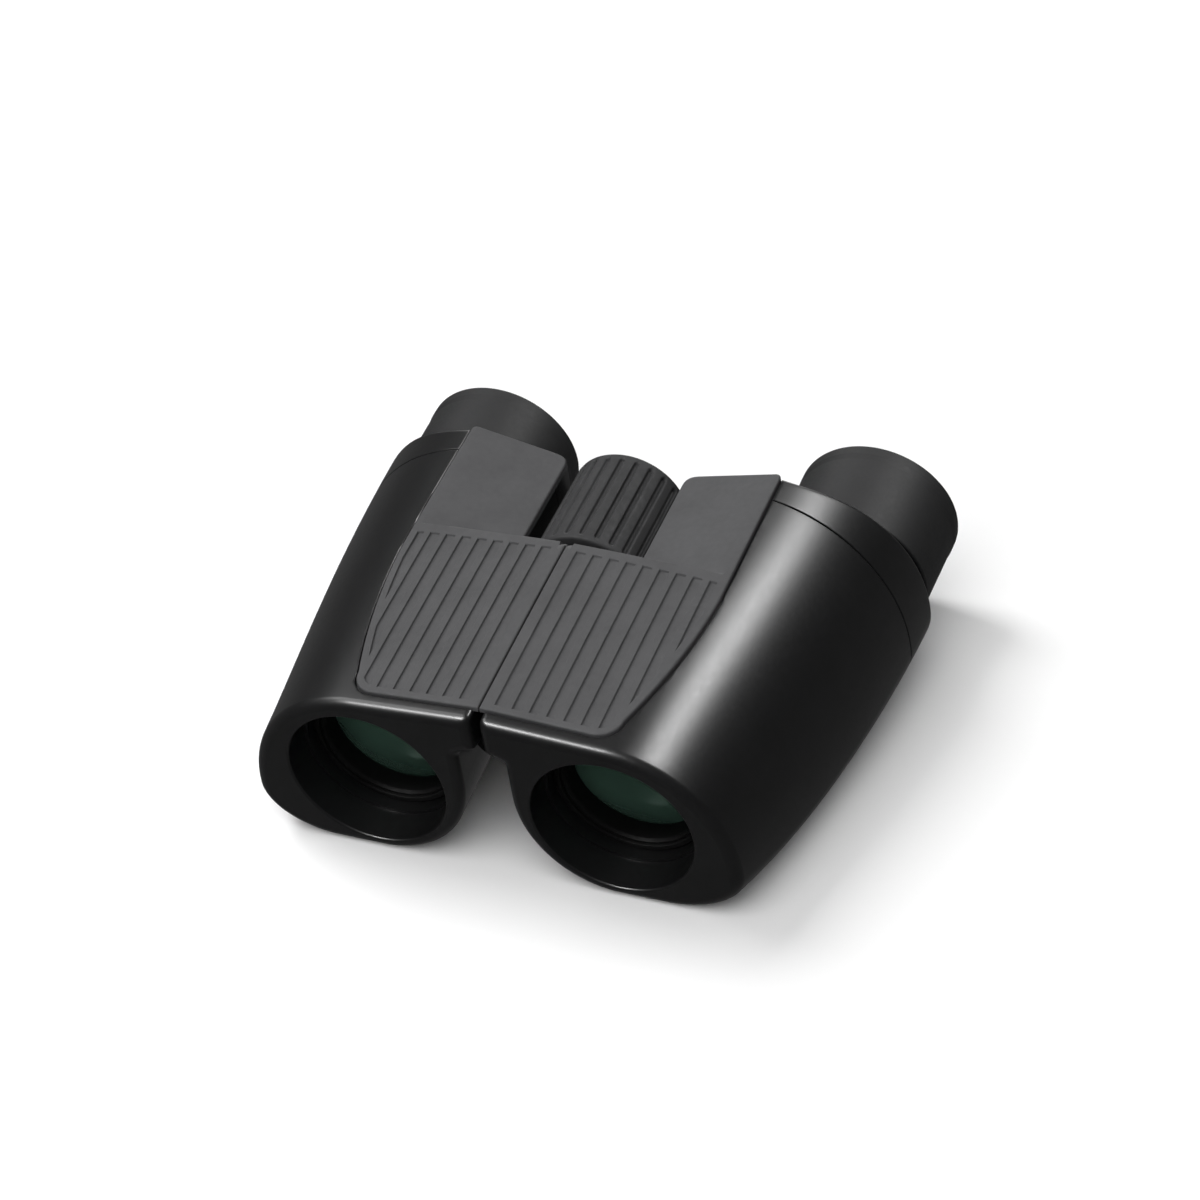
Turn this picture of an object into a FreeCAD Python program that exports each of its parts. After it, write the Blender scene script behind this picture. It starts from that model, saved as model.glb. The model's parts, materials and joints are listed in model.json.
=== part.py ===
import FreeCAD, Part
import Sketcher
import math
import os

# Compact reverse-Porro binoculars.
# The pieces are drawn in the optical frame: X to the side, Y along the optical axes from the
# objectives (front, low Y) to the eyepieces, Z up, with X = 0 midway between the two halves.
# The finished document is tilted and shifted at the end, so that the flat feet under the two
# barrels lie on Z = 0.

V = FreeCAD.Vector
doc = FreeCAD.newDocument("Binoculars")

# ---------------------------------------------------------------- driving dimensions (mm)

SIZES = (
    ("feet_pitch", 7.2, "angle between the optical axes and the flat feet, degrees"),
    ("front_station", -44.6, "front face of the barrels"),
    ("seam_station", 16.2, "joint between barrel shell and rear cover"),
    ("cover_station", 21.8, "rear face of the cover, beside the tongue"),
    ("cover_rake", 0.26, "how far the cover's rear face runs back per mm outwards"),
    ("rake_start", 27.0, "where the rear face starts to run back"),
    ("rake_curve", 8.0, "width of the curve where it does"),
    ("seam_gap", 0.15, "gap between barrel shell and rear cover"),
    ("face_thickness", 2.3, "rear wall of the cover"),
    ("envelope_end", 30.0, "rear end of the form that the shell and cover are cut from"),
    ("half_gap", 0.75, "each flange's distance from the middle plane"),
    ("wall", 1.7, "wall of shell and cover"),
    ("front_wall", 2.2, "wall behind the front face"),
    ("side_front", 41.3, "widest point of a barrel at the front"),
    ("side_rear", 50.3, "widest point of a barrel at the rear"),
    ("widest_front", 9.0, "height of the widest point at the front"),
    ("widest_rear", 3.2, "height of the widest point at the rear"),
    ("ridge_front", 33.1, "roof height at the middle plane, front"),
    ("ridge_rear", 34.5, "roof height at the middle plane, rear"),
    ("roof_slope", 0.06, "fall of the roof per mm outwards"),
    ("shoulder_front", 20.0, "where the roof turns into the side, front"),
    ("shoulder_rear", 22.5, "where the roof turns into the side, rear"),
    ("foot_front", -0.3, "height of the foot at the front face"),
    ("belly_front", 13.1, "width of the rounding outside the foot, front"),
    ("belly_rear", 16.7, "width of the rounding outside the foot, rear"),
    ("foot_inner_front", 20.5, "inner edge of the foot, front"),
    ("foot_inner_rear", 29.0, "inner edge of the foot, rear"),
    ("inner_front", 4.0, "inner wall of the barrel, front"),
    ("inner_rear", 10.4, "inner wall of the barrel, rear"),
    ("inner_rise_front", 17.5, "height where the inner wall starts, front"),
    ("inner_rise_rear", 12.0, "height where the inner wall starts, rear"),
    ("flange_height", 24.6, "underside of the flange over the hinge"),
    ("flange_rise", 1.6, "rise of that underside up to the middle plane"),
    ("foot_trim", 0.05, "taken off the underside, so that both feet are one plane"),
    ("objective_x", 20.92, "objective axis"),
    ("objective_z", 15.23, "objective axis"),
    ("eyepiece_x", 35.12, "eyepiece axis"),
    ("eyepiece_z", 6.58, "eyepiece axis"),
    ("hinge_z", 21.79, "hinge and focus axis"),
    ("mouth_radius", 13.52, "recess in front of the objective"),
    ("mouth_depth", 6.2, "length of that recess"),
    ("guide_radius", 13.0, "bore that the objective cell slides in"),
    ("guide_end", -24.0, "rear end of the guide bore"),
    ("guide_wall", 1.5, "wall of the guide tube"),
    ("panel_front", -41.5, "front edge of the grip panel"),
    ("panel_corner", 4.0, "radius of the panel's front outer corner"),
    ("panel_front_x", 22.4, "outer end of the panel's front edge"),
    ("panel_bulge_x", 26.25, "outer edge of the panel halfway along its curved side"),
    ("panel_bulge_station", -21.0, "place of that halfway point"),
    ("panel_waist_x", 27.6, "outer edge of the panel at its straight stretch"),
    ("panel_waist_station", -8.0, "front end of that straight stretch"),
    ("panel_rear", 22.3, "rear edge of the tongue"),
    ("panel_seam", 0.12, "panel edge from the middle plane"),
    ("panel_rise", 0.35, "how far the panel stands above the roof"),
    ("panel_sunk", 0.6, "how deep the panel sits below the roof"),
    ("panel_gap", 0.25, "gap round the panel"),
    ("panel_step", -4.2, "rear edge of the ribbed field"),
    ("riser_length", 3.0, "slope behind that edge, down to the tongue"),
    ("tongue_inner", 10.5, "inner edge of the tongue"),
    ("tongue_low", 29.0, "top of the tongue at its inner edge"),
    ("tongue_high", 33.1, "top of the tongue at its outer edge"),
    ("tongue_thickness", 1.3, "thickness of the tongue"),
    ("rib_pitch", 2.84, "spacing of the panel's grooves"),
    ("rib_first", 3.0, "first groove from the middle plane"),
    ("rib_width", 1.8, "width of a groove"),
    ("rib_depth", 0.35, "depth of a groove"),
    ("rib_count", 9, "grooves in each panel"),
    ("rib_margin", 1.8, "plain edge round the grooves"),
    ("rib_rear", 0.8, "plain edge behind the grooves"),
    ("knuckle_radius", 5.2, "hinge knuckles"),
    ("knuckle_clear", 0.4, "room round the other half's knuckles"),
    ("pin_radius", 2.9, "hinge pins"),
    ("pin_fit", 0.05, "radial clearance of running fits"),
    ("pin_station", -36.25, "front end of the front hinge pin"),
    ("pin_length", 8.2, "front hinge pin"),
    ("cap_radius", 3.6, "cap on the front hinge pin"),
    ("cap_thickness", 1.3, "cap on the front hinge pin"),
    ("axle_station", -11.1, "front end of the rear hinge tube"),
    ("axle_length", 10.0, "rear hinge tube"),
    ("washer_thickness", 0.7, "friction washers between the knuckles"),
    ("thrust_thickness", 1.5, "thrust washer in front of the focus wheel"),
    ("bay_radius", 5.8, "room for the focus carriage"),
    ("screw_radius", 1.9, "focus screw"),
    ("screw_station", -27.4, "front end of the focus screw"),
    ("screw_thread", 28.0, "thin part of the focus screw"),
    ("screw_length", 44.0, "focus screw"),
    ("screw_shoulder", 0.7, "how much thicker the screw is inside the wheel"),
    ("nut_radius", 3.6, "focus nut"),
    ("nut_length", 8.0, "focus nut"),
    ("nut_station", -23.5, "front end of the focus nut"),
    ("arm_thickness", 2.0, "focus arms"),
    ("arm_ring", 5.0, "outside of a focus arm's eye"),
    ("arm_width", 5.0, "width of a focus arm"),
    ("left_arm_station", -20.85, "front face of the left focus arm"),
    ("right_arm_station", -18.55, "front face of the right focus arm"),
    ("cell_station", -36.4, "front end of the objective cell"),
    ("cell_length", 15.5, "objective cell"),
    ("cell_bore", 11.9, "pocket for lens and ring"),
    ("cell_clear", 10.5, "clear opening behind the lens"),
    ("cell_pocket", 7.9, "depth of that pocket"),
    ("lens_radius", 11.8, "objective lens"),
    ("lens_front_curve", 46.0, "objective lens, front surface"),
    ("lens_back_curve", 120.0, "objective lens, rear surface"),
    ("lens_thickness", 5.3, "objective lens, on its axis"),
    ("ring_clear", 11.2, "opening of the lens ring"),
    ("ring_length", 3.8, "lens ring"),
    ("baffle_station", -22.4, "front end of the light baffle"),
    ("baffle_length", 9.4, "light baffle"),
    ("baffle_front", 10.42, "light baffle, outside at the front"),
    ("baffle_rear", 9.2, "light baffle, outside at the rear"),
    ("baffle_wall", 0.5, "light baffle"),
    ("prism_half", 11.7, "half of a prism's long face, and its height"),
    ("prism_width", 11.6, "width of a prism"),
    ("prism_apex", 0.8, "flat along a prism's ridge"),
    ("prism_turn", 13.7, "direction in which the rear prism shifts the beam, degrees"),
    ("plate_front", 2.0, "front face of the prism plate"),
    ("plate_thickness", 2.0, "prism plate"),
    ("beam_radius", 4.6, "openings in the prism plate"),
    ("clip_width", 4.0, "prism clips"),
    ("clip_thickness", 0.5, "prism clips"),
    ("tube_station", 16.4, "front end of the eyepiece tube"),
    ("tube_length", 23.2, "eyepiece tube"),
    ("tube_radius", 12.2, "eyepiece tube"),
    ("tube_bore", 9.6, "eyepiece tube"),
    ("hole_radius", 13.62, "opening in the cover for the eyepiece"),
    ("collar_room", 14.0, "room behind that opening for the ring's flange"),
    ("collar_station", 17.6, "front end of dioptre ring and collar"),
    ("collar_length", 9.6, "dioptre ring and collar"),
    ("collar_radius", 13.5, "dioptre ring and collar"),
    ("cup_station", 28.3, "front edge of the eyecup"),
    ("cup_length", 17.55, "eyecup"),
    ("cup_radius", 14.25, "eyecup at its lip"),
    ("cup_neck", 13.95, "eyecup at its front edge"),
    ("cup_opening", 10.6, "opening of the eyecup"),
    ("cup_depth", 6.1, "depth of the eyecup in front of the tube"),
    ("eye_lens_radius", 9.0, "eye lens"),
    ("field_lens_radius", 9.5, "field lens"),
    ("wheel_station", 0.55, "front face of the focus wheel"),
    ("wheel_length", 21.6, "focus wheel"),
    ("wheel_radius", 10.15, "focus wheel with its sleeve"),
    ("wheel_core", 8.4, "focus wheel under its sleeve"),
    ("wheel_grooves", 24, "grooves round the focus wheel"),
    ("wheel_groove_width", 0.9, "focus wheel"),
    ("wheel_groove_depth", 0.6, "focus wheel"),
    ("wheel_rim", 1.2, "plain rim at each end of the sleeve"),
    ("slot_half", 10.9, "half width of the slot for the wheel"),
    ("slot_station", -0.3, "front end of the slot for the wheel"),
    ("fastener_radius", 1.0, "cover screws"),
    ("fastener_head", 1.8, "cover screws"),
    ("fastener_length", 8.0, "cover screws"),
    ("fastener_sunk", 1.1, "how deep the screws' heads sit in the cover"),
)

sheet = doc.addObject("Spreadsheet::Sheet", "Sizes")
for row, (alias, value, note) in enumerate(SIZES, 1):
    sheet.set("A%d" % row, alias)
    sheet.set("B%d" % row, str(value))
    sheet.setAlias("B%d" % row, alias)
    sheet.set("C%d" % row, note)
doc.recompute()


def size(alias):
    """The value of a driving dimension."""
    return float(sheet.get(alias))


pieces = []


def keep(piece, label):
    """Names a finished piece and puts it on the list of sub-parts."""
    piece.Label = label
    pieces.append(piece)
    return piece


def feature(label, shape):
    """A piece whose form is a loft or a cut of lofts."""
    piece = doc.addObject("Part::Feature", label)
    piece.Shape = shape
    return keep(piece, label)


# ---------------------------------------------------------------- form of one barrel

STATIONS = 8
ARC_POINTS = 7


# how early along the barrel these sizes change: 1 is evenly, more is nearer the front
SIDE_POWER = 1.8
WIDEST_POWER = 5.0
RIDGE_POWER = 2.4


def along(front, rear, fraction, power=1.0):
    """A dimension that changes from front to rear, quickly at first when power is above 1."""
    return front + (rear - front) * (1.0 - max(0.0, 1.0 - fraction) ** power)


def arc_edge(centre_x, centre_z, radius_x, radius_z, start, end, station):
    """A stretch of ellipse in the plane at the station, angles in degrees."""
    points = []
    for step in range(ARC_POINTS):
        angle = math.radians(start + (end - start) * step / (ARC_POINTS - 1))
        x = centre_x + radius_x * math.cos(angle)
        z = centre_z + radius_z * math.sin(angle)
        points.append(V(x, station, z))
    curve = Part.BSplineCurve()
    curve.interpolate(points)
    return curve.toShape(), points[0], points[-1]


def barrel_section(station, inset, middle):
    """The right barrel's outline at a station, moved inwards by inset.

    The flange over the hinge reaches in to middle; without it, middle is None."""
    span = size("envelope_end") - size("front_station")
    fraction = (station - size("front_station")) / span
    side = along(size("side_front"), size("side_rear"), fraction, SIDE_POWER) - inset
    widest = along(size("widest_front"), size("widest_rear"), fraction, WIDEST_POWER)
    ridge = along(size("ridge_front"), size("ridge_rear"), fraction, RIDGE_POWER) - inset
    shoulder = along(size("shoulder_front"), size("shoulder_rear"), fraction)
    drop = math.tan(math.radians(size("feet_pitch")))
    foot = size("foot_front") - drop * (station - size("front_station")) + inset
    belly = along(size("belly_front"), size("belly_rear"), fraction) - inset
    foot_inner = along(size("foot_inner_front"), size("foot_inner_rear"), fraction)
    inner = along(size("inner_front"), size("inner_rear"), fraction) + inset
    inner_rise = along(size("inner_rise_front"), size("inner_rise_rear"), fraction)
    slope = size("roof_slope")

    # the roof is tangent to the ellipse of the side
    reach = side - shoulder
    tangent_height = ridge - slope * shoulder - widest
    rise = math.sqrt(tangent_height ** 2 - (slope * reach) ** 2)
    turn = math.degrees(math.atan2(rise, slope * reach))

    upper, top_out, _ = arc_edge(shoulder, widest, reach, rise, turn, 0.0, station)
    lower, _, foot_out = arc_edge(side - belly, widest, belly, widest - foot, 0.0, -90.0, station)
    under, foot_in, inner_low = arc_edge(foot_inner, inner_rise, foot_inner - inner,
                                         inner_rise - foot, -90.0, -180.0, station)
    if middle is not None:
        corners = [
            inner_low,
            V(inner, station, size("flange_height")),
            V(middle, station, size("flange_height") + size("flange_rise")),
            V(middle, station, ridge - slope * middle),
            top_out,
        ]
    else:
        corners = [inner_low, V(inner, station, ridge - slope * inner), top_out]
    edges = [upper, lower, Part.makeLine(foot_out, foot_in), under]
    for start, end in zip(corners, corners[1:]):
        edges.append(Part.makeLine(start, end))
    return Part.Wire(Part.__sortEdges__(edges))


def barrel_form(inset, first, last, middle=None):
    """The right barrel's form between two stations, moved inwards by inset."""
    wires = []
    for step in range(STATIONS):
        station = first + (last - first) * step / (STATIONS - 1)
        wires.append(barrel_section(station, inset, middle))
    return Part.makeLoft(wires, True, False)


def block(low, high):
    """A box between two corners."""
    return Part.makeBox(high[0] - low[0], high[1] - low[1], high[2] - low[2], V(*low))


def rod(radius, first, last, x, z):
    """A cylinder along the optical direction."""
    return Part.makeCylinder(radius, last - first, V(x, first, z), V(0, 1, 0))


# ---------------------------------------------------------------- grip panel

FAR = 60.0
LOW = 15.0
ROOF_LOW = 29.0


def panel_prism(grow, first, last):
    """The panel's plan, grown outwards by grow, as an upright prism between two stations."""
    seam = size("panel_seam") - grow
    front = size("panel_front") - grow
    rear = size("panel_rear") + grow
    corner_x = size("panel_front_x") + grow
    waist_x = size("panel_waist_x") + grow
    waist = size("panel_waist_station")
    radius = size("panel_corner") + grow
    cut_off = radius * (1.0 - math.sqrt(0.5))
    corner_start = V(corner_x - radius, front, LOW)
    corner_mid = V(corner_x - cut_off, front + cut_off, LOW)
    corner_end = V(corner_x, front + radius, LOW)
    side_mid = V(size("panel_bulge_x") + grow, size("panel_bulge_station"), LOW)
    edges = [
        Part.makeLine(V(seam, rear, LOW), V(seam, front, LOW)),
        Part.makeLine(V(seam, front, LOW), corner_start),
        Part.Arc(corner_start, corner_mid, corner_end).toShape(),
        Part.Arc(corner_end, side_mid, V(waist_x, waist, LOW)).toShape(),
        Part.makeLine(V(waist_x, waist, LOW), V(waist_x, rear, LOW)),
        Part.makeLine(V(waist_x, rear, LOW), V(seam, rear, LOW)),
    ]
    prism = Part.Face(Part.Wire(edges)).extrude(V(0, 0, 30.0))
    return prism.common(block((-1.0, first, 0.0), (FAR, last, 50.0)))


def tongue_slab(thickness, lift, first, last):
    """A slab whose top is the tongue's plane, raised by lift, across the whole half."""
    low = size("tongue_low") + lift
    high = size("tongue_high") + lift
    inner = size("tongue_inner")
    outer = size("panel_waist_x")
    slope = (high - low) / (outer - inner)
    top_in = low - slope * (inner + 1.0)
    top_out = low + slope * (FAR - inner)
    corners = [
        V(-1.0, first, top_in),
        V(FAR, first, top_out),
        V(FAR, first, top_out - thickness),
        V(-1.0, first, top_in - thickness),
        V(-1.0, first, top_in),
    ]
    return Part.Face(Part.makePolygon(corners)).extrude(V(0, last - first, 0))


SKIN_START = size("front_station") + 0.5
SKIN_END = size("envelope_end") - 0.5
STEP = size("panel_step")
RISER = size("riser_length")
RISER_ROOT = 3.0
PLATEAU = 0.8
SLOPE_FOOT = 27.0

proud_form = barrel_form(-size("panel_rise"), SKIN_START, SKIN_END, 0.0)
sunk_form = barrel_form(size("panel_sunk"), SKIN_START, SKIN_END, 0.0)


def tongue_bed(extra):
    """Everything under the tongue, lowered by extra: sloped beside the wheel, flat before it."""
    drop = size("tongue_thickness") + extra
    flat = block((-1.0, -50.0, -FAR), (size("tongue_inner"), 40.0, size("tongue_low") - drop))
    return tongue_slab(FAR, -drop, -50.0, 40.0).fuse(flat)


def riser_block():
    """The block that carries the ribbed field's rear edge down to the tongue."""
    root = STEP - RISER_ROOT
    corners = [
        V(-1.0, root, LOW),
        V(-1.0, root, 45.0),
        V(-1.0, root + PLATEAU, 45.0),
        V(-1.0, STEP + RISER, SLOPE_FOOT),
        V(-1.0, STEP + RISER, LOW),
        V(-1.0, root, LOW),
    ]
    return Part.Face(Part.makePolygon(corners)).extrude(V(FAR, 0, 0))


def grip_panel():
    """The ribbed field, its riser and the tongue beside the wheel, as one moulding."""
    field = panel_prism(0.0, size("panel_front") - 1.0, STEP)
    field = field.common(proud_form).cut(sunk_form)
    field = field.common(block((-1.0, -50.0, ROOF_LOW), (FAR, STEP, 50.0)))
    riser = panel_prism(0.0, STEP - RISER_ROOT, STEP + RISER).common(riser_block())
    riser = riser.common(proud_form).cut(tongue_bed(0.0))
    tongue = panel_prism(0.0, STEP, size("panel_rear"))
    tongue = tongue.common(tongue_slab(size("tongue_thickness"), 0.0, STEP, size("panel_rear")))
    tongue = tongue.common(block((size("tongue_inner"), -50.0, 0.0), (FAR, FAR, 50.0)))
    clear_of_wheel = block((-1.0, STEP + RISER - 0.6, 0.0), (size("tongue_inner"), FAR, 50.0))
    panel = field.fuse([riser, tongue]).cut(clear_of_wheel).removeSplitter()

    grooves = []
    groove_floor = barrel_form(size("rib_depth") - size("panel_rise"), SKIN_START, SKIN_END, 0.0)
    inner_plan = panel_prism(-size("rib_margin"), size("panel_front"), STEP - size("rib_rear"))
    half_width = size("rib_width") / 2.0
    for number in range(int(size("rib_count"))):
        middle = size("rib_first") + number * size("rib_pitch")
        strip = block((middle - half_width, -50.0, LOW), (middle + half_width, STEP, 50.0))
        grooves.append(strip.common(inner_plan).cut(groove_floor))
    return panel.cut(grooves)


def panel_seat():
    """What is taken off the shell and cover to seat the panel."""
    gap = size("panel_gap")
    field = panel_prism(gap, size("panel_front") - 1.0, STEP).cut(sunk_form)
    field = field.common(block((-1.0, -50.0, ROOF_LOW), (FAR, STEP, 50.0)))
    root = STEP - RISER_ROOT
    tongue = panel_prism(gap, root, FAR).cut(tongue_bed(0.0))
    beside_wheel = block((size("tongue_inner") - gap, root, LOW), (FAR, FAR, 50.0))
    over_hinge = block((-1.0, root, LOW), (FAR, size("slot_station") + 0.1, 50.0))
    return field.fuse(tongue.common(beside_wheel.fuse(over_hinge)))


# ---------------------------------------------------------------- hinge layout

LEFT_KNUCKLES = ((-36.2, -32.3), (-5.8, -1.2))
RIGHT_KNUCKLES = ((-31.5, -28.0), (-11.0, -6.6))
HINGE_BORE = (-36.3, -1.0)
CARRIAGE_BAY = (-27.6, -11.4)
ARM_SLOT_LOW = (2.0, CARRIAGE_BAY[0] + 4.0, size("hinge_z") - 7.0)
ARM_SLOT_HIGH = (10.0, CARRIAGE_BAY[1] - 2.0, size("hinge_z") + 1.5)
KNUCKLE_ROOM = 0.75
POSTS = ((14.6, 20.5), (35.5, 25.2), (18.6, -1.2))
POST_FRONT = 8.0
POST_RADIUS = 2.3


def beside_wheel_slot(extra):
    """The slot for the wheel, with extra all round."""
    return block((-1.0, size("slot_station") - extra, -30.0), (size("slot_half") + extra, FAR, 60.0))


def below_feet():
    """Everything below the plane of the flat feet."""
    slope = math.tan(math.radians(size("feet_pitch")))
    level = size("foot_front") + slope * size("front_station") + size("foot_trim")
    corners = [
        V(-FAR, -FAR, level + slope * FAR),
        V(-FAR, FAR, level - slope * FAR),
        V(-FAR, FAR, -FAR),
        V(-FAR, -FAR, -FAR),
        V(-FAR, -FAR, level + slope * FAR),
    ]
    return Part.Face(Part.makePolygon(corners)).extrude(V(2.0 * FAR, 0, 0))


def barrel_shell(own_knuckles, other_knuckles):
    """The barrel shell of the right half, in front of the seam."""
    front = size("front_station")
    seam = size("seam_station")
    wall = size("wall")
    x = size("objective_x")
    z = size("objective_z")
    hinge_z = size("hinge_z")
    room = block((-10.0, -FAR, -30.0), (FAR + 10.0, seam, FAR))
    form = barrel_form(0.0, front, size("envelope_end"), size("half_gap"))
    hollow = barrel_form(wall, front + size("front_wall"), size("envelope_end"))
    beside = block((-1.0, STEP - RISER_ROOT - wall, LOW),
                   (size("panel_waist_x") + 1.0, FAR, 50.0))
    hollow = hollow.cut([beside.cut(tongue_bed(wall)), beside_wheel_slot(wall)])
    shell = form.common(room).cut(hollow)

    tube = rod(size("guide_radius") + size("guide_wall"), front + 0.5, size("guide_end"), x, z)
    posts = [rod(POST_RADIUS, POST_FRONT, seam - 0.1, px, pz) for px, pz in POSTS]
    shell = shell.fuse([tube.common(form)] + [post.common(form) for post in posts])

    bay = rod(size("bay_radius"), CARRIAGE_BAY[0], CARRIAGE_BAY[1], 0.0, hinge_z)
    arm_slot = block(ARM_SLOT_LOW, ARM_SLOT_HIGH)
    clear_radius = size("knuckle_radius") + size("knuckle_clear")
    away = [bay, arm_slot, beside_wheel_slot(0.0), panel_seat(), below_feet()]
    for first, last in other_knuckles:
        away.append(rod(clear_radius, first - KNUCKLE_ROOM, last + KNUCKLE_ROOM, 0.0, hinge_z))
    shell = shell.cut(away)

    knuckles = [rod(size("knuckle_radius"), first, last, 0.0, hinge_z)
                for first, last in own_knuckles]
    shell = shell.fuse(knuckles)
    bores = [
        rod(size("pin_radius") + size("pin_fit"), HINGE_BORE[0], HINGE_BORE[1], 0.0, hinge_z),
        rod(size("mouth_radius"), front - 1.0, front + size("mouth_depth"), x, z),
        rod(size("guide_radius"), front - 1.0, size("guide_end") + 1.0, x, z),
    ]
    bores += [rod(size("fastener_radius"), POST_FRONT + 3.0, seam, px, pz) for px, pz in POSTS]
    return shell.cut(bores)


def cover_face():
    """What lies behind the cover's rear face: straight beside the tongue, then raked."""
    straight = size("cover_station")
    rake = size("cover_rake")
    width = size("rake_curve")
    inner = V(-1.0, straight, -30.0)
    start = V(size("rake_start"), straight, -30.0)
    middle = start + V(width / 2.0, rake * width / 8.0, 0)
    bend = start + V(width, rake * width / 2.0, 0)
    outer = V(FAR, bend.y + rake * (FAR - bend.x), -30.0)
    outline = (
        Part.makeLine(inner, start),
        Part.Arc(start, middle, bend).toShape(),
        Part.makeLine(bend, outer),
        Part.makeLine(outer, V(FAR, FAR, -30.0)),
        Part.makeLine(V(FAR, FAR, -30.0), V(-1.0, FAR, -30.0)),
        Part.makeLine(V(-1.0, FAR, -30.0), inner),
    )
    return Part.Face(Part.Wire(outline)).extrude(V(0, 0, 80.0))


def rear_cover():
    """The cover behind the seam of the right half, with the eyepiece opening."""
    seam = size("seam_station") + size("seam_gap")
    wall = size("wall")
    form = barrel_form(0.0, size("front_station"), size("envelope_end"), size("half_gap"))
    hollow = barrel_form(wall, size("front_station") + 5.0, size("envelope_end") - 0.5)
    inside_face = size("cover_station") - size("face_thickness")
    hollow = hollow.common(block((-10.0, 0.0, -30.0), (FAR, inside_face, 60.0)))
    beside = block((-1.0, 0.0, LOW), (size("panel_waist_x") + 1.0, FAR, 50.0))
    hollow = hollow.cut([beside.cut(tongue_bed(wall)), beside_wheel_slot(wall)])
    cover = form.common(block((-10.0, seam, -30.0), (FAR, FAR, 60.0)))
    screw_room = size("fastener_radius") + 0.15
    head_room = size("fastener_head") + 0.2
    head_seat = size("cover_station") - size("fastener_sunk")
    away = [
        hollow,
        cover_face(),
        below_feet(),
        rod(size("hole_radius"), 0.0, FAR, size("eyepiece_x"), size("eyepiece_z")),
        rod(size("collar_room"), 0.0, size("collar_station") + 1.7,
            size("eyepiece_x"), size("eyepiece_z")),
        beside_wheel_slot(0.0),
        panel_seat(),
    ]
    away += [rod(screw_room, 0.0, FAR, px, pz) for px, pz in POSTS]
    away += [rod(head_room, head_seat, FAR, px, pz) for px, pz in POSTS]
    return cover.cut(away)


def prism_plate():
    """The plate across the barrel that both prisms are seated on."""
    wall = size("wall") + 0.05
    first = size("plate_front")
    last = first + size("plate_thickness")
    plate = barrel_form(wall, size("front_station") + 5.0, size("envelope_end") - 0.5)
    plate = plate.common(block((0.0, first, -30.0), (FAR, last, 60.0)))
    beside = block((-1.0, -20.0, LOW), (size("panel_waist_x") + 1.0, FAR, 50.0))
    beams = (
        (size("objective_x"), size("objective_z")),
        (size("eyepiece_x"), size("eyepiece_z")),
        MIDDLE_BEAM,
    )
    holes = [rod(size("beam_radius"), 0.0, 10.0, x, z) for x, z in beams]
    return plate.cut([beside.cut(tongue_bed(wall)), beside_wheel_slot(wall)] + holes)


# ---------------------------------------------------------------- light path

TURN = math.radians(size("prism_turn"))
SHIFT_X = size("eyepiece_x") - size("objective_x")
SHIFT_Z = size("eyepiece_z") - size("objective_z")
FIRST_SHIFT = SHIFT_X * math.cos(TURN) + SHIFT_Z * math.sin(TURN)
MIDDLE_BEAM = (size("objective_x") + FIRST_SHIFT * math.cos(TURN),
               size("objective_z") + FIRST_SHIFT * math.sin(TURN))
REAR_PRISM = ((size("objective_x") + MIDDLE_BEAM[0]) / 2.0,
              (size("objective_z") + MIDDLE_BEAM[1]) / 2.0)
FRONT_PRISM = ((size("eyepiece_x") + MIDDLE_BEAM[0]) / 2.0,
               (size("eyepiece_z") + MIDDLE_BEAM[1]) / 2.0)


# ---------------------------------------------------------------- sketched bodies

def origin_plane(body, role):
    """One of the body's own origin planes."""
    for plane in body.Origin.OriginFeatures:
        if plane.Role == role:
            return plane
    raise ValueError(role)


def add_outline(sketch, corners):
    """A closed outline of straight lines; each corner's two places are sheet expressions."""
    values = [tuple(evaluate(part) for part in corner) for corner in corners]
    count = len(values)
    for index in range(count):
        start = values[index]
        end = values[(index + 1) % count]
        sketch.addGeometry(Part.LineSegment(V(start[0], start[1], 0), V(end[0], end[1], 0)))
    for index in range(count):
        following = (index + 1) % count
        sketch.addConstraint(Sketcher.Constraint("Coincident", index, 2, following, 1))
    for index, corner in enumerate(corners):
        for kind, axis, part, value in (("DistanceX", -2, corner[0], values[index][0]),
                                        ("DistanceY", -1, corner[1], values[index][1])):
            if part == "0":
                sketch.addConstraint(Sketcher.Constraint("PointOnObject", index, 1, axis))
                continue
            number = sketch.addConstraint(Sketcher.Constraint(kind, -1, 1, index, 1, value))
            sketch.setExpression("Constraints[%d]" % number, part)


scratch = doc.addObject("App::FeaturePython", "Evaluator")
scratch.addProperty("App::PropertyFloat", "Value")


def evaluate(expression):
    """The value of a sheet expression."""
    return float(scratch.evalExpression(expression))


def named(text):
    """Writes a size's alias as the sheet expression for it."""
    words = text.split()
    return " ".join("Sizes." + word if word[0].isalpha() else word for word in words)


def place(piece, x, y, z, rotation=None):
    """Puts a piece at its place in the optical frame."""
    piece.Placement = FreeCAD.Placement(V(x, y, z), rotation or FreeCAD.Rotation())


def turned(label, corners, x, y, z):
    """A piece turned about its own Y axis, from an outline of (radius, length) corners."""
    body = doc.addObject("PartDesign::Body", label)
    sketch = body.newObject("Sketcher::SketchObject", label + "_profile")
    sketch.AttachmentSupport = [(origin_plane(body, "XY_Plane"), "")]
    sketch.MapMode = "FlatFace"
    add_outline(sketch, [(named(r), named(s)) for r, s in corners])
    turning = body.newObject("PartDesign::Revolution", label + "_turned")
    turning.Profile = sketch
    turning.ReferenceAxis = (sketch, ["V_Axis"])
    turning.Angle = 360.0
    sketch.Visibility = False
    body.Tip = turning
    place(body, x, y, z)
    return keep(body, label)


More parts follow.
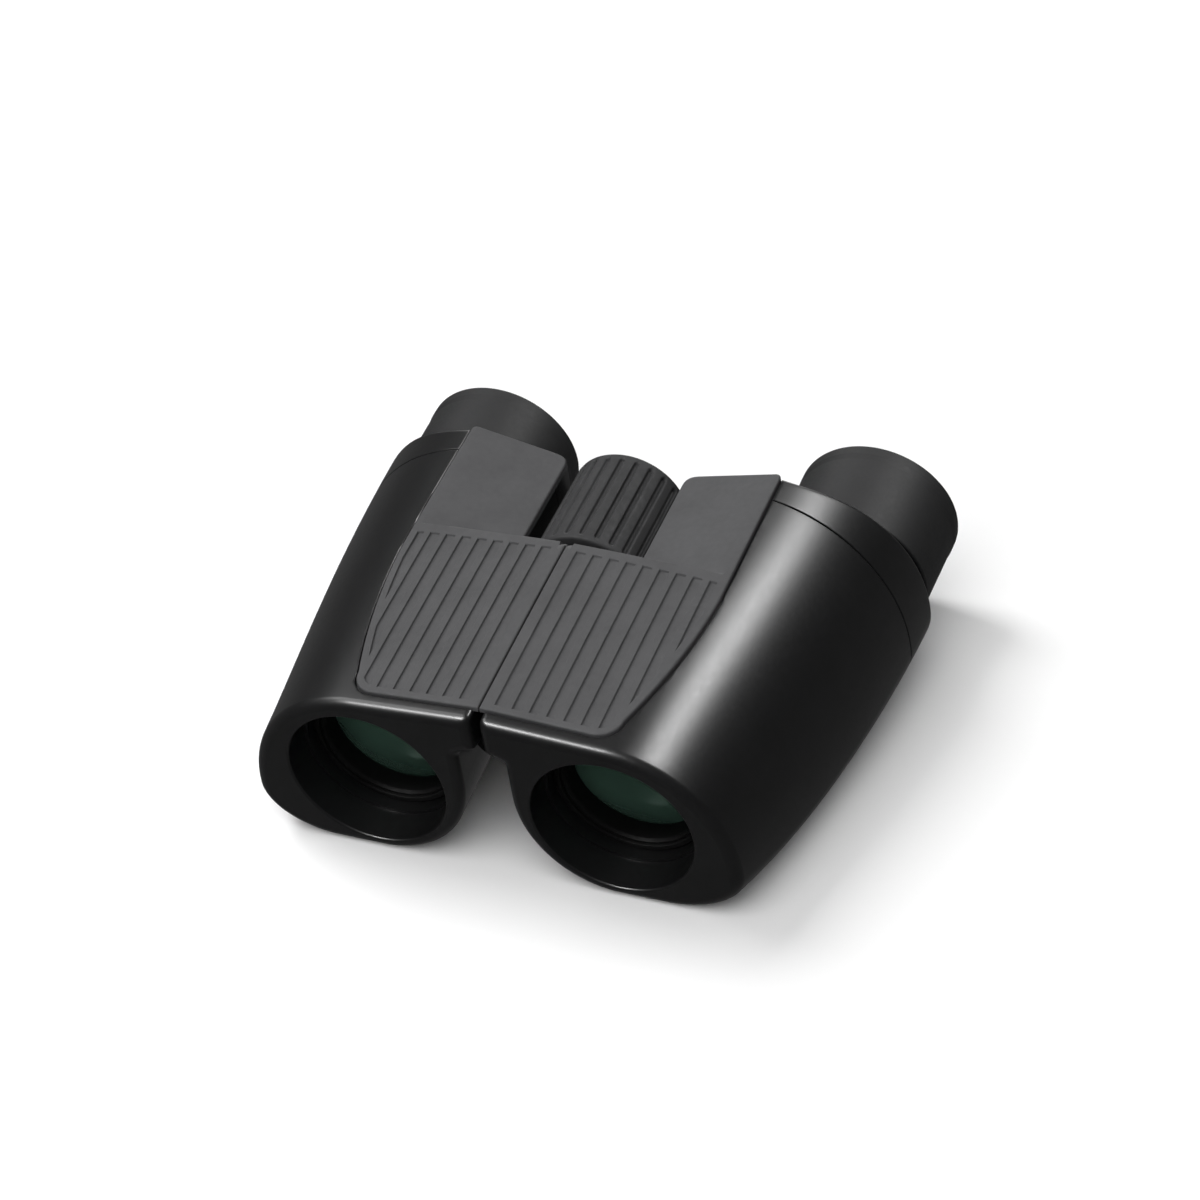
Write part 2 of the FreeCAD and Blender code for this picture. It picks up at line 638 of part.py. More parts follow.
def lens(label, radius, front_curve, back_curve, thickness, x, y, z):
    """A lens: a disc common to two balls, its front pole at the given place."""
    disc = doc.addObject("Part::Cylinder", label + "_disc")
    disc.setExpression("Radius", named(radius))
    disc.setExpression("Height", named(thickness))
    disc.Placement = FreeCAD.Placement(V(), FreeCAD.Rotation(V(1, 0, 0), -90))
    front = doc.addObject("Part::Sphere", label + "_front")
    front.setExpression("Radius", named(front_curve))
    front.setExpression("Placement.Base.y", named(front_curve))
    back = doc.addObject("Part::Sphere", label + "_back")
    back.setExpression("Radius", named(back_curve))
    back.setExpression("Placement.Base.y", named(thickness + " - " + back_curve))
    glass = doc.addObject("Part::MultiCommon", label)
    glass.Shapes = [disc, front, back]
    place(glass, x, y, z)
    return keep(glass, label)


def padded(label, corners, thickness, rotation, x, y, z):
    """A plate: an outline in the XY plane, padded evenly to both sides."""
    body = doc.addObject("PartDesign::Body", label)
    sketch = body.newObject("Sketcher::SketchObject", label + "_profile")
    sketch.AttachmentSupport = [(origin_plane(body, "XY_Plane"), "")]
    sketch.MapMode = "FlatFace"
    add_outline(sketch, [(named(r), named(s)) for r, s in corners])
    pad = body.newObject("PartDesign::Pad", label + "_pad")
    pad.Profile = sketch
    pad.Midplane = True
    pad.setExpression("Length", named(thickness))
    sketch.Visibility = False
    body.Tip = pad
    place(body, x, y, z, rotation)
    return body


def ring_corners(inner, outer, length):
    """The outline of a plain ring."""
    return [(inner, "0"), (outer, "0"), (outer, length), (inner, length)]


# ---------------------------------------------------------------- shells, covers, panels

def both_halves(name, right_shape):
    """The piece of the right half and its mirror image."""
    feature("right_" + name, right_shape)
    feature("left_" + name, right_shape.mirror(V(0, 0, 0), V(1, 0, 0)))


feature("right_barrel_shell", barrel_shell(RIGHT_KNUCKLES, LEFT_KNUCKLES))
left_shell = barrel_shell(LEFT_KNUCKLES, RIGHT_KNUCKLES)
feature("left_barrel_shell", left_shell.mirror(V(0, 0, 0), V(1, 0, 0)))
both_halves("rear_cover", rear_cover())
both_halves("grip_panel", grip_panel())
both_halves("prism_plate", prism_plate())

# ---------------------------------------------------------------- pieces of each half

TIP_X = 9.75
TIP_Z = 18.75


def focus_arm(side, label, station, bore):
    """The arm from the focus nut to an objective cell: an eye, a bar and a pad on the cell."""
    hinge_z = size("hinge_z")
    upright = FreeCAD.Rotation(V(1, 0, 0), -90)
    eye = doc.addObject("Part::Cylinder", label + "_eye")
    eye.setExpression("Radius", "Sizes.arm_ring")
    eye.setExpression("Height", "Sizes.arm_thickness")
    place(eye, 0, station, hinge_z, upright)
    reach = math.hypot(TIP_X, hinge_z - TIP_Z)
    lean = math.degrees(math.atan2(hinge_z - TIP_Z, TIP_X))
    bar = doc.addObject("Part::Box", label + "_bar")
    bar.Length = reach
    bar.setExpression("Width", "Sizes.arm_thickness")
    bar.setExpression("Height", "Sizes.arm_width")
    turn = FreeCAD.Rotation(V(0, 1, 0), lean if side > 0 else 180 - lean)
    offset = turn.multVec(V(0, 0, -size("arm_width") / 2.0))
    place(bar, offset.x, station, hinge_z + offset.z, turn)
    whole = doc.addObject("Part::Fuse", label + "_whole")
    whole.Base = eye
    whole.Tool = bar
    hole = doc.addObject("Part::Cylinder", label + "_hole")
    hole.setExpression("Radius", bore)
    hole.Height = 10.0
    place(hole, 0, station - 4.0, hinge_z, upright)
    drilled = doc.addObject("Part::Cut", label + "_drilled")
    drilled.Base = whole
    drilled.Tool = hole
    beam = doc.addObject("Part::Cylinder", label + "_beam")
    beam.setExpression("Radius", "Sizes.cell_clear")
    beam.Height = 10.0
    place(beam, side * size("objective_x"), station - 4.0, size("objective_z"), upright)
    arm = doc.addObject("Part::Cut", label)
    arm.Base = drilled
    arm.Tool = beam
    keep(arm, label)


def cover_screws(side, label):
    """The screws that hold the rear cover to the posts, as a group."""
    screws = []
    seat = size("cover_station") - size("fastener_sunk")
    upright = FreeCAD.Rotation(V(1, 0, 0), -90)
    for number, (post_x, post_z) in enumerate(POSTS):
        name = "%s_%d" % (label, number)
        shank = doc.addObject("Part::Cylinder", name + "_shank")
        shank.Radius = size("fastener_radius") - 0.02
        shank.setExpression("Height", "Sizes.fastener_length")
        place(shank, side * post_x, seat - size("fastener_length"), post_z, upright)
        head = doc.addObject("Part::Cylinder", name + "_head")
        head.setExpression("Radius", "Sizes.fastener_head")
        head.Height = 0.9
        place(head, side * post_x, seat, post_z, upright)
        screw = doc.addObject("Part::Fuse", name + "_screw")
        screw.Base = shank
        screw.Tool = head
        recess = doc.addObject("Part::Box", name + "_slot")
        recess.Length = 2.4
        recess.Width = 1.0
        recess.Height = 0.5
        place(recess, side * post_x - 1.2, seat + 0.45, post_z - 0.25)
        slotted = doc.addObject("Part::Cut", name)
        slotted.Base = screw
        slotted.Tool = recess
        screws.append(slotted)
    group = doc.addObject("Part::Compound", label)
    group.Links = screws
    keep(group, label)


def prisms(side, name):
    """The two roofless prisms of one half and their spring clips."""
    tall = [
        ("0 - prism_half", "0"),
        ("prism_half", "0"),
        ("prism_apex", "prism_half - prism_apex"),
        ("0 - prism_apex", "prism_half - prism_apex"),
    ]
    inner = "prism_half + 0.15"
    outer = "prism_half + 0.15 + clip_thickness"
    top = "prism_half - prism_apex + 0.05"
    clip = [
        (outer, "0"),
        (outer, top + " + clip_thickness"),
        ("0 - " + outer.replace("+", "-"), top + " + clip_thickness"),
        ("0 - " + outer.replace("+", "-"), "0"),
        ("0 - " + inner.replace("+", "-"), "0"),
        ("0 - " + inner.replace("+", "-"), top),
        (inner, top),
        (inner, "0"),
    ]
    back_face = size("plate_front") + size("plate_thickness")
    degrees = size("prism_turn")
    rear_turn = FreeCAD.Rotation(V(0, 1, 0), -degrees if side > 0 else degrees)
    flip = FreeCAD.Rotation(V(1, 0, 0), 180)
    front_turn = FreeCAD.Rotation(V(0, 1, 0), 90 - degrees if side > 0 else degrees - 90)
    front_turn = front_turn.multiply(flip)
    seats = (
        ("rear", REAR_PRISM, back_face + 0.05, rear_turn),
        ("front", FRONT_PRISM, size("plate_front") - 0.05, front_turn),
    )
    for which, (x, z), station, turn in seats:
        glass = padded("%s_%s_prism" % (name, which), tall, "prism_width", turn,
                       side * x, station, z)
        keep(glass, "%s_%s_prism" % (name, which))
    for which, (x, z), station, turn in seats:
        strap = padded("%s_%s_prism_clip" % (name, which), clip, "clip_width", turn,
                       side * x, station, z)
        keep(strap, "%s_%s_prism_clip" % (name, which))


def half_pieces(side, name):
    """Everything inside and behind one barrel."""
    ox = side * size("objective_x")
    oz = size("objective_z")
    ex = side * size("eyepiece_x")
    ez = size("eyepiece_z")
    cell = size("cell_station")

    turned(name + "_objective_cell", [
        ("cell_bore", "0"),
        ("guide_radius - 0.08", "0"),
        ("guide_radius - 0.08", "cell_length"),
        ("cell_clear", "cell_length"),
        ("cell_clear", "cell_pocket"),
        ("cell_bore", "cell_pocket"),
    ], ox, cell, oz)
    edge = size("lens_radius") ** 2 / 2.0
    back_sag = edge / size("lens_back_curve")
    lens(name + "_objective_lens", "lens_radius", "lens_front_curve", "lens_back_curve",
         "lens_thickness", ox, cell + size("cell_pocket") + back_sag - size("lens_thickness") - 0.15, oz)
    turned(name + "_objective_ring", [
        ("ring_clear", "ring_length"),
        ("ring_clear", "0.6"),
        ("ring_clear + 0.3", "0"),
        ("cell_bore - 0.05", "0"),
        ("cell_bore - 0.05", "ring_length"),
    ], ox, cell + 0.5, oz)
    turned(name + "_light_baffle", [
        ("baffle_front - baffle_wall", "0"),
        ("baffle_front", "0"),
        ("baffle_front", "1.4"),
        ("baffle_rear", "baffle_length"),
        ("baffle_rear - baffle_wall", "baffle_length"),
    ], ox, size("baffle_station"), oz)
    prisms(side, name)
    turned(name + "_eyepiece_tube", [
        ("tube_bore", "0"),
        ("tube_radius", "0"),
        ("tube_radius", "tube_length"),
        ("eye_lens_radius - 0.8", "tube_length"),
        ("eye_lens_radius - 0.8", "tube_length - 1.0"),
        ("eye_lens_radius + 0.05", "tube_length - 1.0"),
        ("eye_lens_radius + 0.05", "tube_length - 6.5"),
        ("tube_bore", "tube_length - 6.5"),
    ], ex, size("tube_station"), ez)
    lens(name + "_eye_lens", "eye_lens_radius", "eye_lens_radius + 9.0", "eye_lens_radius + 21.0",
         "eye_lens_radius - 3.2", ex, size("tube_station") + size("tube_length") - 7.2, ez)
    turned(name + "_field_stop", [
        ("tube_bore - 3.2", "0.6"),
        ("tube_bore - 2.4", "0"),
        ("tube_bore - 0.02", "0"),
        ("tube_bore - 0.02", "1.6"),
        ("tube_bore - 3.2", "1.6"),
    ], ex, size("tube_station") + 1.0, ez)
    lens(name + "_field_lens", "field_lens_radius", "field_lens_radius + 30.0",
         "field_lens_radius + 11.0", "field_lens_radius - 4.5",
         ex, size("tube_station") + 5.0, ez)
    turned(name + "_eyecup", [
        ("tube_radius + 0.03", "0"),
        ("cup_neck - 0.3", "0"),
        ("cup_neck", "0.3"),
        ("cup_neck + 0.1", "cup_length - 3.1"),
        ("cup_radius", "cup_length - 2.6"),
        ("cup_radius", "cup_length - 0.6"),
        ("cup_radius - 0.7", "cup_length"),
        ("cup_opening + 1.6", "cup_length"),
        ("cup_opening + 0.7", "cup_length - 0.6"),
        ("cup_opening", "cup_length - cup_depth"),
        ("tube_radius + 0.03", "cup_length - cup_depth"),
    ], ex, size("cup_station"), ez)
    cover_screws(side, name + "_cover_screws")


half_pieces(-1, "left")
half_pieces(1, "right")
focus_arm(-1, "left_focus_arm", size("left_arm_station"), "Sizes.nut_radius")
focus_arm(1, "right_focus_arm", size("right_arm_station"), "Sizes.nut_radius + Sizes.pin_fit")

COLLAR = [
    ("tube_radius + 0.06", "0"),
    ("collar_radius + 0.35", "0"),
    ("collar_radius + 0.35", "1.4"),
    ("collar_radius", "1.4"),
    ("collar_radius", "collar_length - 0.4"),
    ("collar_radius - 0.4", "collar_length"),
    ("tube_radius + 0.06", "collar_length"),
]
turned("diopter_ring", COLLAR, -size("eyepiece_x"), size("collar_station"), size("eyepiece_z"))
turned("right_eyepiece_collar", COLLAR, size("eyepiece_x"), size("collar_station"),
       size("eyepiece_z"))

# ---------------------------------------------------------------- hinge and focus train

AXIS = size("hinge_z")

turned("hinge_front_pin", [
    ("0", "0"),
    ("pin_radius", "0"),
    ("pin_radius", "pin_length"),
    ("0", "pin_length"),
], 0, size("pin_station"), AXIS)
turned("hinge_front_cap", [
    ("0", "0"),
    ("cap_radius - 0.6", "0"),
    ("cap_radius", "0.6"),
    ("cap_radius", "cap_thickness"),
    ("0", "cap_thickness"),
], 0, size("pin_station") - size("cap_thickness") - size("pin_fit"), AXIS)
turned("hinge_rear_tube", ring_corners("screw_radius + 0.08", "pin_radius", "axle_length"),
       0, size("axle_station"), AXIS)


def hinge_washers():
    """The two friction washers between the knuckles, as a group."""
    discs = []
    for number, knuckle in enumerate((LEFT_KNUCKLES[0], RIGHT_KNUCKLES[1])):
        name = "hinge_washers_%d" % number
        upright = FreeCAD.Rotation(V(1, 0, 0), -90)
        disc = doc.addObject("Part::Cylinder", name + "_disc")
        disc.setExpression("Radius", "Sizes.knuckle_radius - 0.3")
        disc.setExpression("Height", "Sizes.washer_thickness")
        place(disc, 0, knuckle[1] + size("pin_fit"), AXIS, upright)
        hole = doc.addObject("Part::Cylinder", name + "_hole")
        hole.setExpression("Radius", "Sizes.pin_radius + 0.04")
        hole.Height = 2.0
        place(hole, 0, knuckle[1] - 0.5, AXIS, upright)
        washer = doc.addObject("Part::Cut", name)
        washer.Base = disc
        washer.Tool = hole
        discs.append(washer)
    group = doc.addObject("Part::Compound", "hinge_washers")
    group.Links = discs
    keep(group, "hinge_washers")


hinge_washers()
turned("thrust_washer",
       ring_corners("screw_radius + 0.1", "knuckle_radius - 0.8", "thrust_thickness"),
       0, HINGE_BORE[1] - size("pin_fit"), AXIS)
turned("focus_nut", ring_corners("screw_radius + 0.06", "nut_radius", "nut_length"),
       0, size("nut_station"), AXIS)
turned("focus_screw", [
    ("0", "0"),
    ("screw_radius - 0.4", "0"),
    ("screw_radius", "0.5"),
    ("screw_radius", "screw_thread"),
    ("screw_radius + screw_shoulder", "screw_thread"),
    ("screw_radius + screw_shoulder", "screw_length"),
    ("0", "screw_length"),
], 0, size("screw_station"), AXIS)
turned("focus_wheel_core", [
    ("screw_radius + screw_shoulder", "0"),
    ("wheel_core - 1.2", "0"),
    ("wheel_core", "0.4"),
    ("wheel_core", "wheel_length - 0.4"),
    ("wheel_core - 1.4", "wheel_length - 0.4"),
    ("wheel_core - 1.4", "wheel_length - 4.0"),
    ("screw_radius + screw_shoulder", "wheel_length - 4.0"),
], 0, size("wheel_station"), AXIS)
turned("focus_wheel_cap", [
    ("0", "0"),
    ("wheel_core - 1.5", "0"),
    ("wheel_core - 1.5", "1.6"),
    ("wheel_core - 1.9", "2.0"),
    ("0", "2.3"),
], 0, size("wheel_station") + size("wheel_length") - 2.6, AXIS)
turned("focus_wheel_screw", [
    ("0", "0"),
    ("1.9", "0"),
    ("1.9", "1.0"),
    ("0", "1.2"),
], 0, size("wheel_station") + size("wheel_length") - 3.95, AXIS)


def wheel_sleeve():
    """The ribbed rubber sleeve on the focus wheel."""
    label = "focus_wheel_sleeve"
    body = turned(label, [
        ("wheel_core + 0.02", "0.4"),
        ("wheel_core + 0.9", "0"),
        ("wheel_radius - 0.7", "0"),
        ("wheel_radius", "0.7"),
        ("wheel_radius", "wheel_length - 0.5"),
        ("wheel_radius - 0.5", "wheel_length"),
        ("wheel_core + 0.02", "wheel_length"),
    ], 0, size("wheel_station"), AXIS)
    doc.recompute()
    plain_volume = body.Shape.Volume
    sketch = body.newObject("Sketcher::SketchObject", label + "_groove_profile")
    sketch.AttachmentSupport = [(origin_plane(body, "XY_Plane"), "")]
    sketch.MapMode = "FlatFace"
    add_outline(sketch, [(named(x), named(y)) for x, y in (
        ("wheel_radius - wheel_groove_depth", "wheel_rim"),
        ("wheel_radius + 1.0", "wheel_rim"),
        ("wheel_radius + 1.0", "wheel_length - wheel_rim"),
        ("wheel_radius - wheel_groove_depth", "wheel_length - wheel_rim"),
    )])
    groove = body.newObject("PartDesign::Pocket", label + "_groove")
    groove.Profile = sketch
    groove.Midplane = True
    groove.setExpression("Length", named("wheel_groove_width"))
    doc.recompute()
    pattern = body.newObject("PartDesign::PolarPattern", label + "_grooves")
    pattern.Originals = [groove]
    pattern.Axis = (sketch, ["V_Axis"])
    pattern.Angle = 360.0
    pattern.Occurrences = int(size("wheel_grooves"))
    body.Tip = pattern
    doc.recompute()
    if body.Shape.Volume > plain_volume - 100.0:
        raise RuntimeError("the wheel's grooves cut nothing")


wheel_sleeve()

# ---------------------------------------------------------------- frame, checks and files

doc.recompute()
tilt = FreeCAD.Placement(V(), FreeCAD.Rotation(V(1, 0, 0), size("feet_pitch")))
for piece in pieces:
    piece.Placement = tilt.multiply(piece.Placement)
doc.recompute()
whole = FreeCAD.BoundBox()
for piece in pieces:
    whole.add(piece.Shape.BoundBox)
shift = FreeCAD.Placement(V(0, -(whole.YMin + whole.YMax) / 2.0, -whole.ZMin), FreeCAD.Rotation())
for piece in pieces:
    piece.Placement = shift.multiply(piece.Placement)
doc.recompute()

for member in doc.Objects:
    if "Invalid" in member.State or "Error" in member.State:
        raise RuntimeError("%s failed: %s" % (member.Name, member.State))
for piece in pieces:
    if piece.Shape.isNull() or not piece.Shape.isValid() or not piece.Shape.Solids:
        raise RuntimeError("%s has no valid solid" % piece.Label)

os.makedirs("parts", exist_ok=True)
for piece in pieces:
    piece.Shape.exportStep("parts/%s.step" % piece.Label)
print("frame shift", round(shift.Base.y, 4), round(shift.Base.z, 4))
print("pieces", len(pieces))
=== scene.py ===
import json
import math
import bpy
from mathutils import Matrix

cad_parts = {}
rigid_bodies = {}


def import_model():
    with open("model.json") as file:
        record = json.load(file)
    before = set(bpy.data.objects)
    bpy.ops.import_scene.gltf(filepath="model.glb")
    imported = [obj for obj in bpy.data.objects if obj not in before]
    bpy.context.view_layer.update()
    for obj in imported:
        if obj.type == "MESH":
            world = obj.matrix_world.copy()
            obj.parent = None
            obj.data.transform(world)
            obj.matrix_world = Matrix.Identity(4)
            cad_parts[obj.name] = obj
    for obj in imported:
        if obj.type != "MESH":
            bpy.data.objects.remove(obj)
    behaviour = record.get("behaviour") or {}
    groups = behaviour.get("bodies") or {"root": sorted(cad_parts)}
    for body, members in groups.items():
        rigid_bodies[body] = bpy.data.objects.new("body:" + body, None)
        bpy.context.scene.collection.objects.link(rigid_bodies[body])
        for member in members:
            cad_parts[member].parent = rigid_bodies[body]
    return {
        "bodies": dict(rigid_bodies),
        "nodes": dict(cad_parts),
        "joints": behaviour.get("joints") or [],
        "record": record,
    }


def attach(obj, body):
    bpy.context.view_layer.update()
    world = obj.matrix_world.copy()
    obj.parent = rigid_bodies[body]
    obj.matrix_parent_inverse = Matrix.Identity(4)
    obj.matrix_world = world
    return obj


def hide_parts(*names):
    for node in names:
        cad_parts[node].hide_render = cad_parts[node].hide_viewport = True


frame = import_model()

from types import SimpleNamespace

import bmesh
import bpy
from mathutils import Matrix, Vector
from mathutils.geometry import delaunay_2d_cdt

# Compact reverse-Porro binoculars.
# Pieces are drawn in millimetres in the optical frame: X to the side, Y along the optical axes
# from the objectives (low Y) to the eyepieces, Z up, X = 0 midway between the halves. TO_ROW
# turns them by the pitch of the hinge and puts them, in metres, where the frame's hinge is.
# The right half is drawn, and the left half is its mirror image.

OWN = set(frame["bodies"].values()) | set(frame["nodes"].values())
for spare in [thing for thing in bpy.data.objects if thing not in OWN]:
    bpy.data.objects.remove(spare)
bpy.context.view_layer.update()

HINGE_Z = 21.79
HINGE = (0.0, HINGE_Z)
fold = next(joint for joint in frame["joints"] if joint["name"] == "fold")
PITCH = math.atan2(fold["axis"][2], fold["axis"][1])
TO_ROW = (
    Matrix.Translation(fold["pos_m"])
    @ Matrix.Rotation(PITCH, 4, "X")
    @ Matrix.Scale(0.001, 4)
    @ Matrix.Translation((0.0, 0.0, -HINGE_Z))
)
MIRROR = Matrix.Scale(-1.0, 4, (1.0, 0.0, 0.0))
QUARTER = math.pi / 2.0

# ---------------------------------------------------------------- sizes (mm)

FRONT = -44.6
SEAM = 16.2
SEAM_GAP = 0.15
FORM_END = 30.0
SLOT_HALF = 10.9
SLOT_FRONT = -0.3
WALL = 1.7
FRONT_WALL = 2.2
FRONT_ROUND = 1.7
SEAM_ROUND = 0.22
ROOF_SLOPE = 0.06
FOOT_FRONT = -0.25
HALF_GAP = 0.75
FLANGE_Z = 24.6
FLANGE_RISE = 1.6
COVER_REAR = 21.8
RAKE = 0.26
RAKE_START = 27.0
RAKE_CURVE = 8.0
COVER_ROUND = 0.9

# The optical axes, as (x, z), and what is round about them.
OBJECTIVE = (20.92, 15.23)
EYEPIECE = (35.12, 6.58)
MOUTH_RADIUS = 13.52
MOUTH_DEPTH = 6.2
MOUTH_LIP = 0.45
GUIDE_RADIUS = 13.0
GUIDE_END = -24.0
GUIDE_WALL = 1.5
HOLE_RADIUS = 13.62
COLLAR_ROOM = 14.0
COLLAR_ROOM_END = 19.3

# The grip panel: a ribbed field in front of STEP, a riser behind it, then the tongue.
PANEL_FRONT = -41.5
PANEL_REAR = 22.3
PANEL_SEAM = 0.12
PANEL_CORNER = 4.0
PANEL_FRONT_X = 22.4
PANEL_BULGE = (26.25, -21.0)
PANEL_WAIST = (27.6, -8.0)
PANEL_RISE = 0.35
PANEL_SUNK = 0.6
PANEL_GAP = 0.25
SEAT_LIP = 0.3
PANEL_EDGE = 0.32
STEP = -4.2
ROOT = STEP - 3.0
RISER_TOP = ROOT + 0.8
RISER_FOOT = STEP + 3.0
RISER_HIGH = 45.0
RISER_LOW = 27.0
RISER_BEND = 0.7
TONGUE_INNER = 10.5
TONGUE_LOW = 29.0
TONGUE_HIGH = 33.1
TONGUE_THICKNESS = 1.3
TONGUE_CORNER_INNER = 2.2
TONGUE_CORNER_OUTER = 1.0
WHEEL_NOTCH = STEP + 2.4

# The panel's grooves. The profile is (inwards from a groove's edge, depth).
GROOVE_PITCH = 2.84
GROOVE_FIRST = 3.0
GROOVE_WIDTH = 1.8
GROOVE_MARGIN = 1.25
GROOVE_REAR = STEP - 0.8
GROOVE_COUNT = 9
GROOVE_PROFILE = ((0.0, 0.0), (0.05, 0.03), (0.11, 0.36), (0.2, 0.44))
GROOVE_DEPTH = GROOVE_PROFILE[-1][1]

# The hinge, with each half's knuckles as (first y, last y), and the cover's screws.
KNUCKLE_RADIUS = 5.2
KNUCKLE_CLEAR = 5.6
KNUCKLE_ROOM = 0.75
KNUCKLES = {
    "left": ((-36.2, -32.3), (-5.8, -1.2)),
    "right": ((-31.5, -28.0), (-11.0, -6.6)),
}
PIN_BORE = 2.95
PIN_BORE_ENDS = (-36.3, -1.0)
BAY_RADIUS = 5.8
BAY = (-27.6, -11.4)
POSTS = ((14.6, 20.5), (35.5, 25.2), (18.6, -1.2))
POST_FRONT = 8.0
POST_RADIUS = 2.3
SCREW_RADIUS = 1.15
SCREW_HEAD = 2.0
SCREW_SEAT = COVER_REAR - 1.1

WHEEL_FRONT = 0.55
WHEEL_LENGTH = 21.6
WHEEL_RADIUS = 10.15
WHEEL_BORE = 8.42
WHEEL_GROOVES = 24
WHEEL_GROOVE_HALF = 0.45
WHEEL_GROOVE_DEPTH = 0.6
WHEEL_RIM = 1.2
WHEEL_ROUND = 0.55
WHEEL_LIP = 0.12
WHEEL_LIP_SPREAD = 0.6

# Sizes of the barrel's outline: at its front, at its rear, and the power that makes the
# change quick at first where it is above 1.
SIDE = (41.3, 50.3, 1.8)
WIDEST = (9.0, 3.2, 5.0)
RIDGE = (33.1, 34.5, 2.4)
SHOULDER = (20.0, 22.5, 1.0)
BELLY = (13.1, 16.7, 1.0)
FOOT_INNER = (20.5, 29.0, 1.0)
INNER = (4.0, 10.4, 1.0)
INNER_RISE = (17.5, 12.0, 1.0)

# Heights and distances beyond every surface, for the tools that cut.
FAR = 60.0
TALL = 50.0

# ---------------------------------------------------------------- meshes


def mesh_object(name, points, faces):
    """A mesh object from points and faces."""
    mesh = bpy.data.meshes.new(name)
    mesh.from_pydata([tuple(point) for point in points], [], faces)
    mesh.validate()
    thing = bpy.data.objects.new(name, mesh)
    bpy.context.scene.collection.objects.link(thing)
    outward(thing)
    return thing


def outward(thing):
    """Joins equal points and turns all faces outwards."""
    work = bmesh.new()
    work.from_mesh(thing.data)
    bmesh.ops.remove_doubles(work, verts=work.verts, dist=1e-5)
    bmesh.ops.recalc_face_normals(work, faces=work.faces)
    work.to_mesh(thing.data)
    work.free()


def belts(rings):
    """The faces between each ring of points and the next."""
    count = len(rings[0])
    faces = []
    for ring in range(len(rings) - 1):
        low = ring * count
        for i in range(count):
            j = (i + 1) % count
            faces.append([low + i, low + j, low + count + j, low + count + i])
    return faces


def loft(name, rings):
    """A closed solid through rings of equally many points, with flat ends."""
    count = len(rings[0])
    points = [point for ring in rings for point in ring]
    ends = [list(range(count)), [len(points) - 1 - i for i in range(count)]]
    return mesh_object(name, points, ends + belts(rings))


def around(count, segments, poles=()):
    """The faces round an axis between copies of a closed profile of count points. Each
    pole is the number of a point on the axis."""
    faces = []
    for step in range(segments):
        here = step * count
        there = (step + 1) % segments * count
        for i in range(count):
            j = (i + 1) % count
            face = [here + i, here + j]
            if j not in poles:
                face.append(there + j)
            if i not in poles:
                face.append(there + i)
            if len(face) > 2:
                faces.append(face)
    return faces


def turned(name, profile, centre, segments):
    """A solid turned about the optical direction, from a closed profile of (radius, y)."""
    x, z = centre
    points = []
    for step in range(segments):
        angle = math.tau * step / segments
        for radius, y in profile:
            points.append((x + radius * math.cos(angle), y, z + radius * math.sin(angle)))
    poles = [index for index, (radius, _) in enumerate(profile) if radius == 0.0]
    return mesh_object(name, points, around(len(profile), segments, poles))


def rod(name, radius, first, last, centre, segments=96):
    """A plain turned rod, used for cutting and joining."""
    return turned(name, [(0.0, first), (radius, first), (radius, last), (0.0, last)],
                  centre, segments)


def extruded(name, profile, first, last):
    """A closed profile of (x, z), extruded from y first to y last."""
    return loft(name, [[(x, y, z) for x, z in profile] for y in (first, last)])


def box(name, low, high):
    """A box between two corners."""
    profile = [(low[0], low[2]), (high[0], low[2]), (high[0], high[2]), (low[0], high[2])]
    return extruded(name, profile, low[1], high[1])


def combine(target, tools, operation="DIFFERENCE"):
    """Cuts, joins or intersects the target with each tool, and removes the tools."""
    for tool in tools:
        change = target.modifiers.new("combine", "BOOLEAN")
        change.operation = operation
        change.solver = "MANIFOLD"
        change.object = tool
        bpy.context.view_layer.update()
        graph = bpy.context.evaluated_depsgraph_get()
        result = bpy.data.meshes.new_from_object(target.evaluated_get(graph))
        target.modifiers.clear()
        old = target.data
        target.data = result
        bpy.data.meshes.remove(old)
        bpy.data.objects.remove(tool)
    return target


def rounded(corners, radii, steps=5):
    """The path through corners with its inner corners rounded, without its two ends."""
    path = []
    for before, corner, after, radius in zip(corners, corners[1:], corners[2:], radii):
        towards = before - corner
        away = after - corner
        half = towards.angle(away) / 2.0
        reach = min(radius / math.tan(half), 0.48 * towards.length, 0.48 * away.length)
        start = corner + towards.normalized() * reach
        end = corner + away.normalized() * reach
        for step in range(steps + 1):
            t = step / steps
            path.append(start * (1 - t) ** 2 + corner * 2 * t * (1 - t) + end * t ** 2)
    return path


def round_profile(corners):
    """A closed profile from corners (radius from the axis, y, rounding)."""
    places = [Vector((r, y)) for r, y, _ in corners]
    profile = []
    for index, (r, y, rounding) in enumerate(corners):
        if rounding == 0.0:
            profile.append((r, y))
            continue
        before = places[index - 1]
        after = places[(index + 1) % len(places)]
        for point in rounded([before, places[index], after], [rounding]):
            profile.append((point.x, point.y))
    return profile


def stretch(start, end, parts):
    """Evenly spaced points between two points, without the two."""
    return [start.lerp(end, step / parts) for step in range(1, parts)]


def smooth(thing, angle=32.0):
    """Smooth shading with sharp edges above the angle, weighted by face area."""
    work = bmesh.new()
    work.from_mesh(thing.data)
    bmesh.ops.remove_doubles(work, verts=work.verts, dist=2e-4)
    bmesh.ops.dissolve_degenerate(work, edges=work.edges, dist=2e-4)
    limit = math.radians(angle)
    for face in work.faces:
        face.smooth = True
    for edge in work.edges:
        edge.smooth = len(edge.link_faces) == 2 and edge.calc_face_angle(0.0) < limit
    work.to_mesh(thing.data)
    work.free()
    weighted = thing.modifiers.new("normals", "WEIGHTED_NORMAL")
    weighted.keep_sharp = True
    weighted.weight = 60


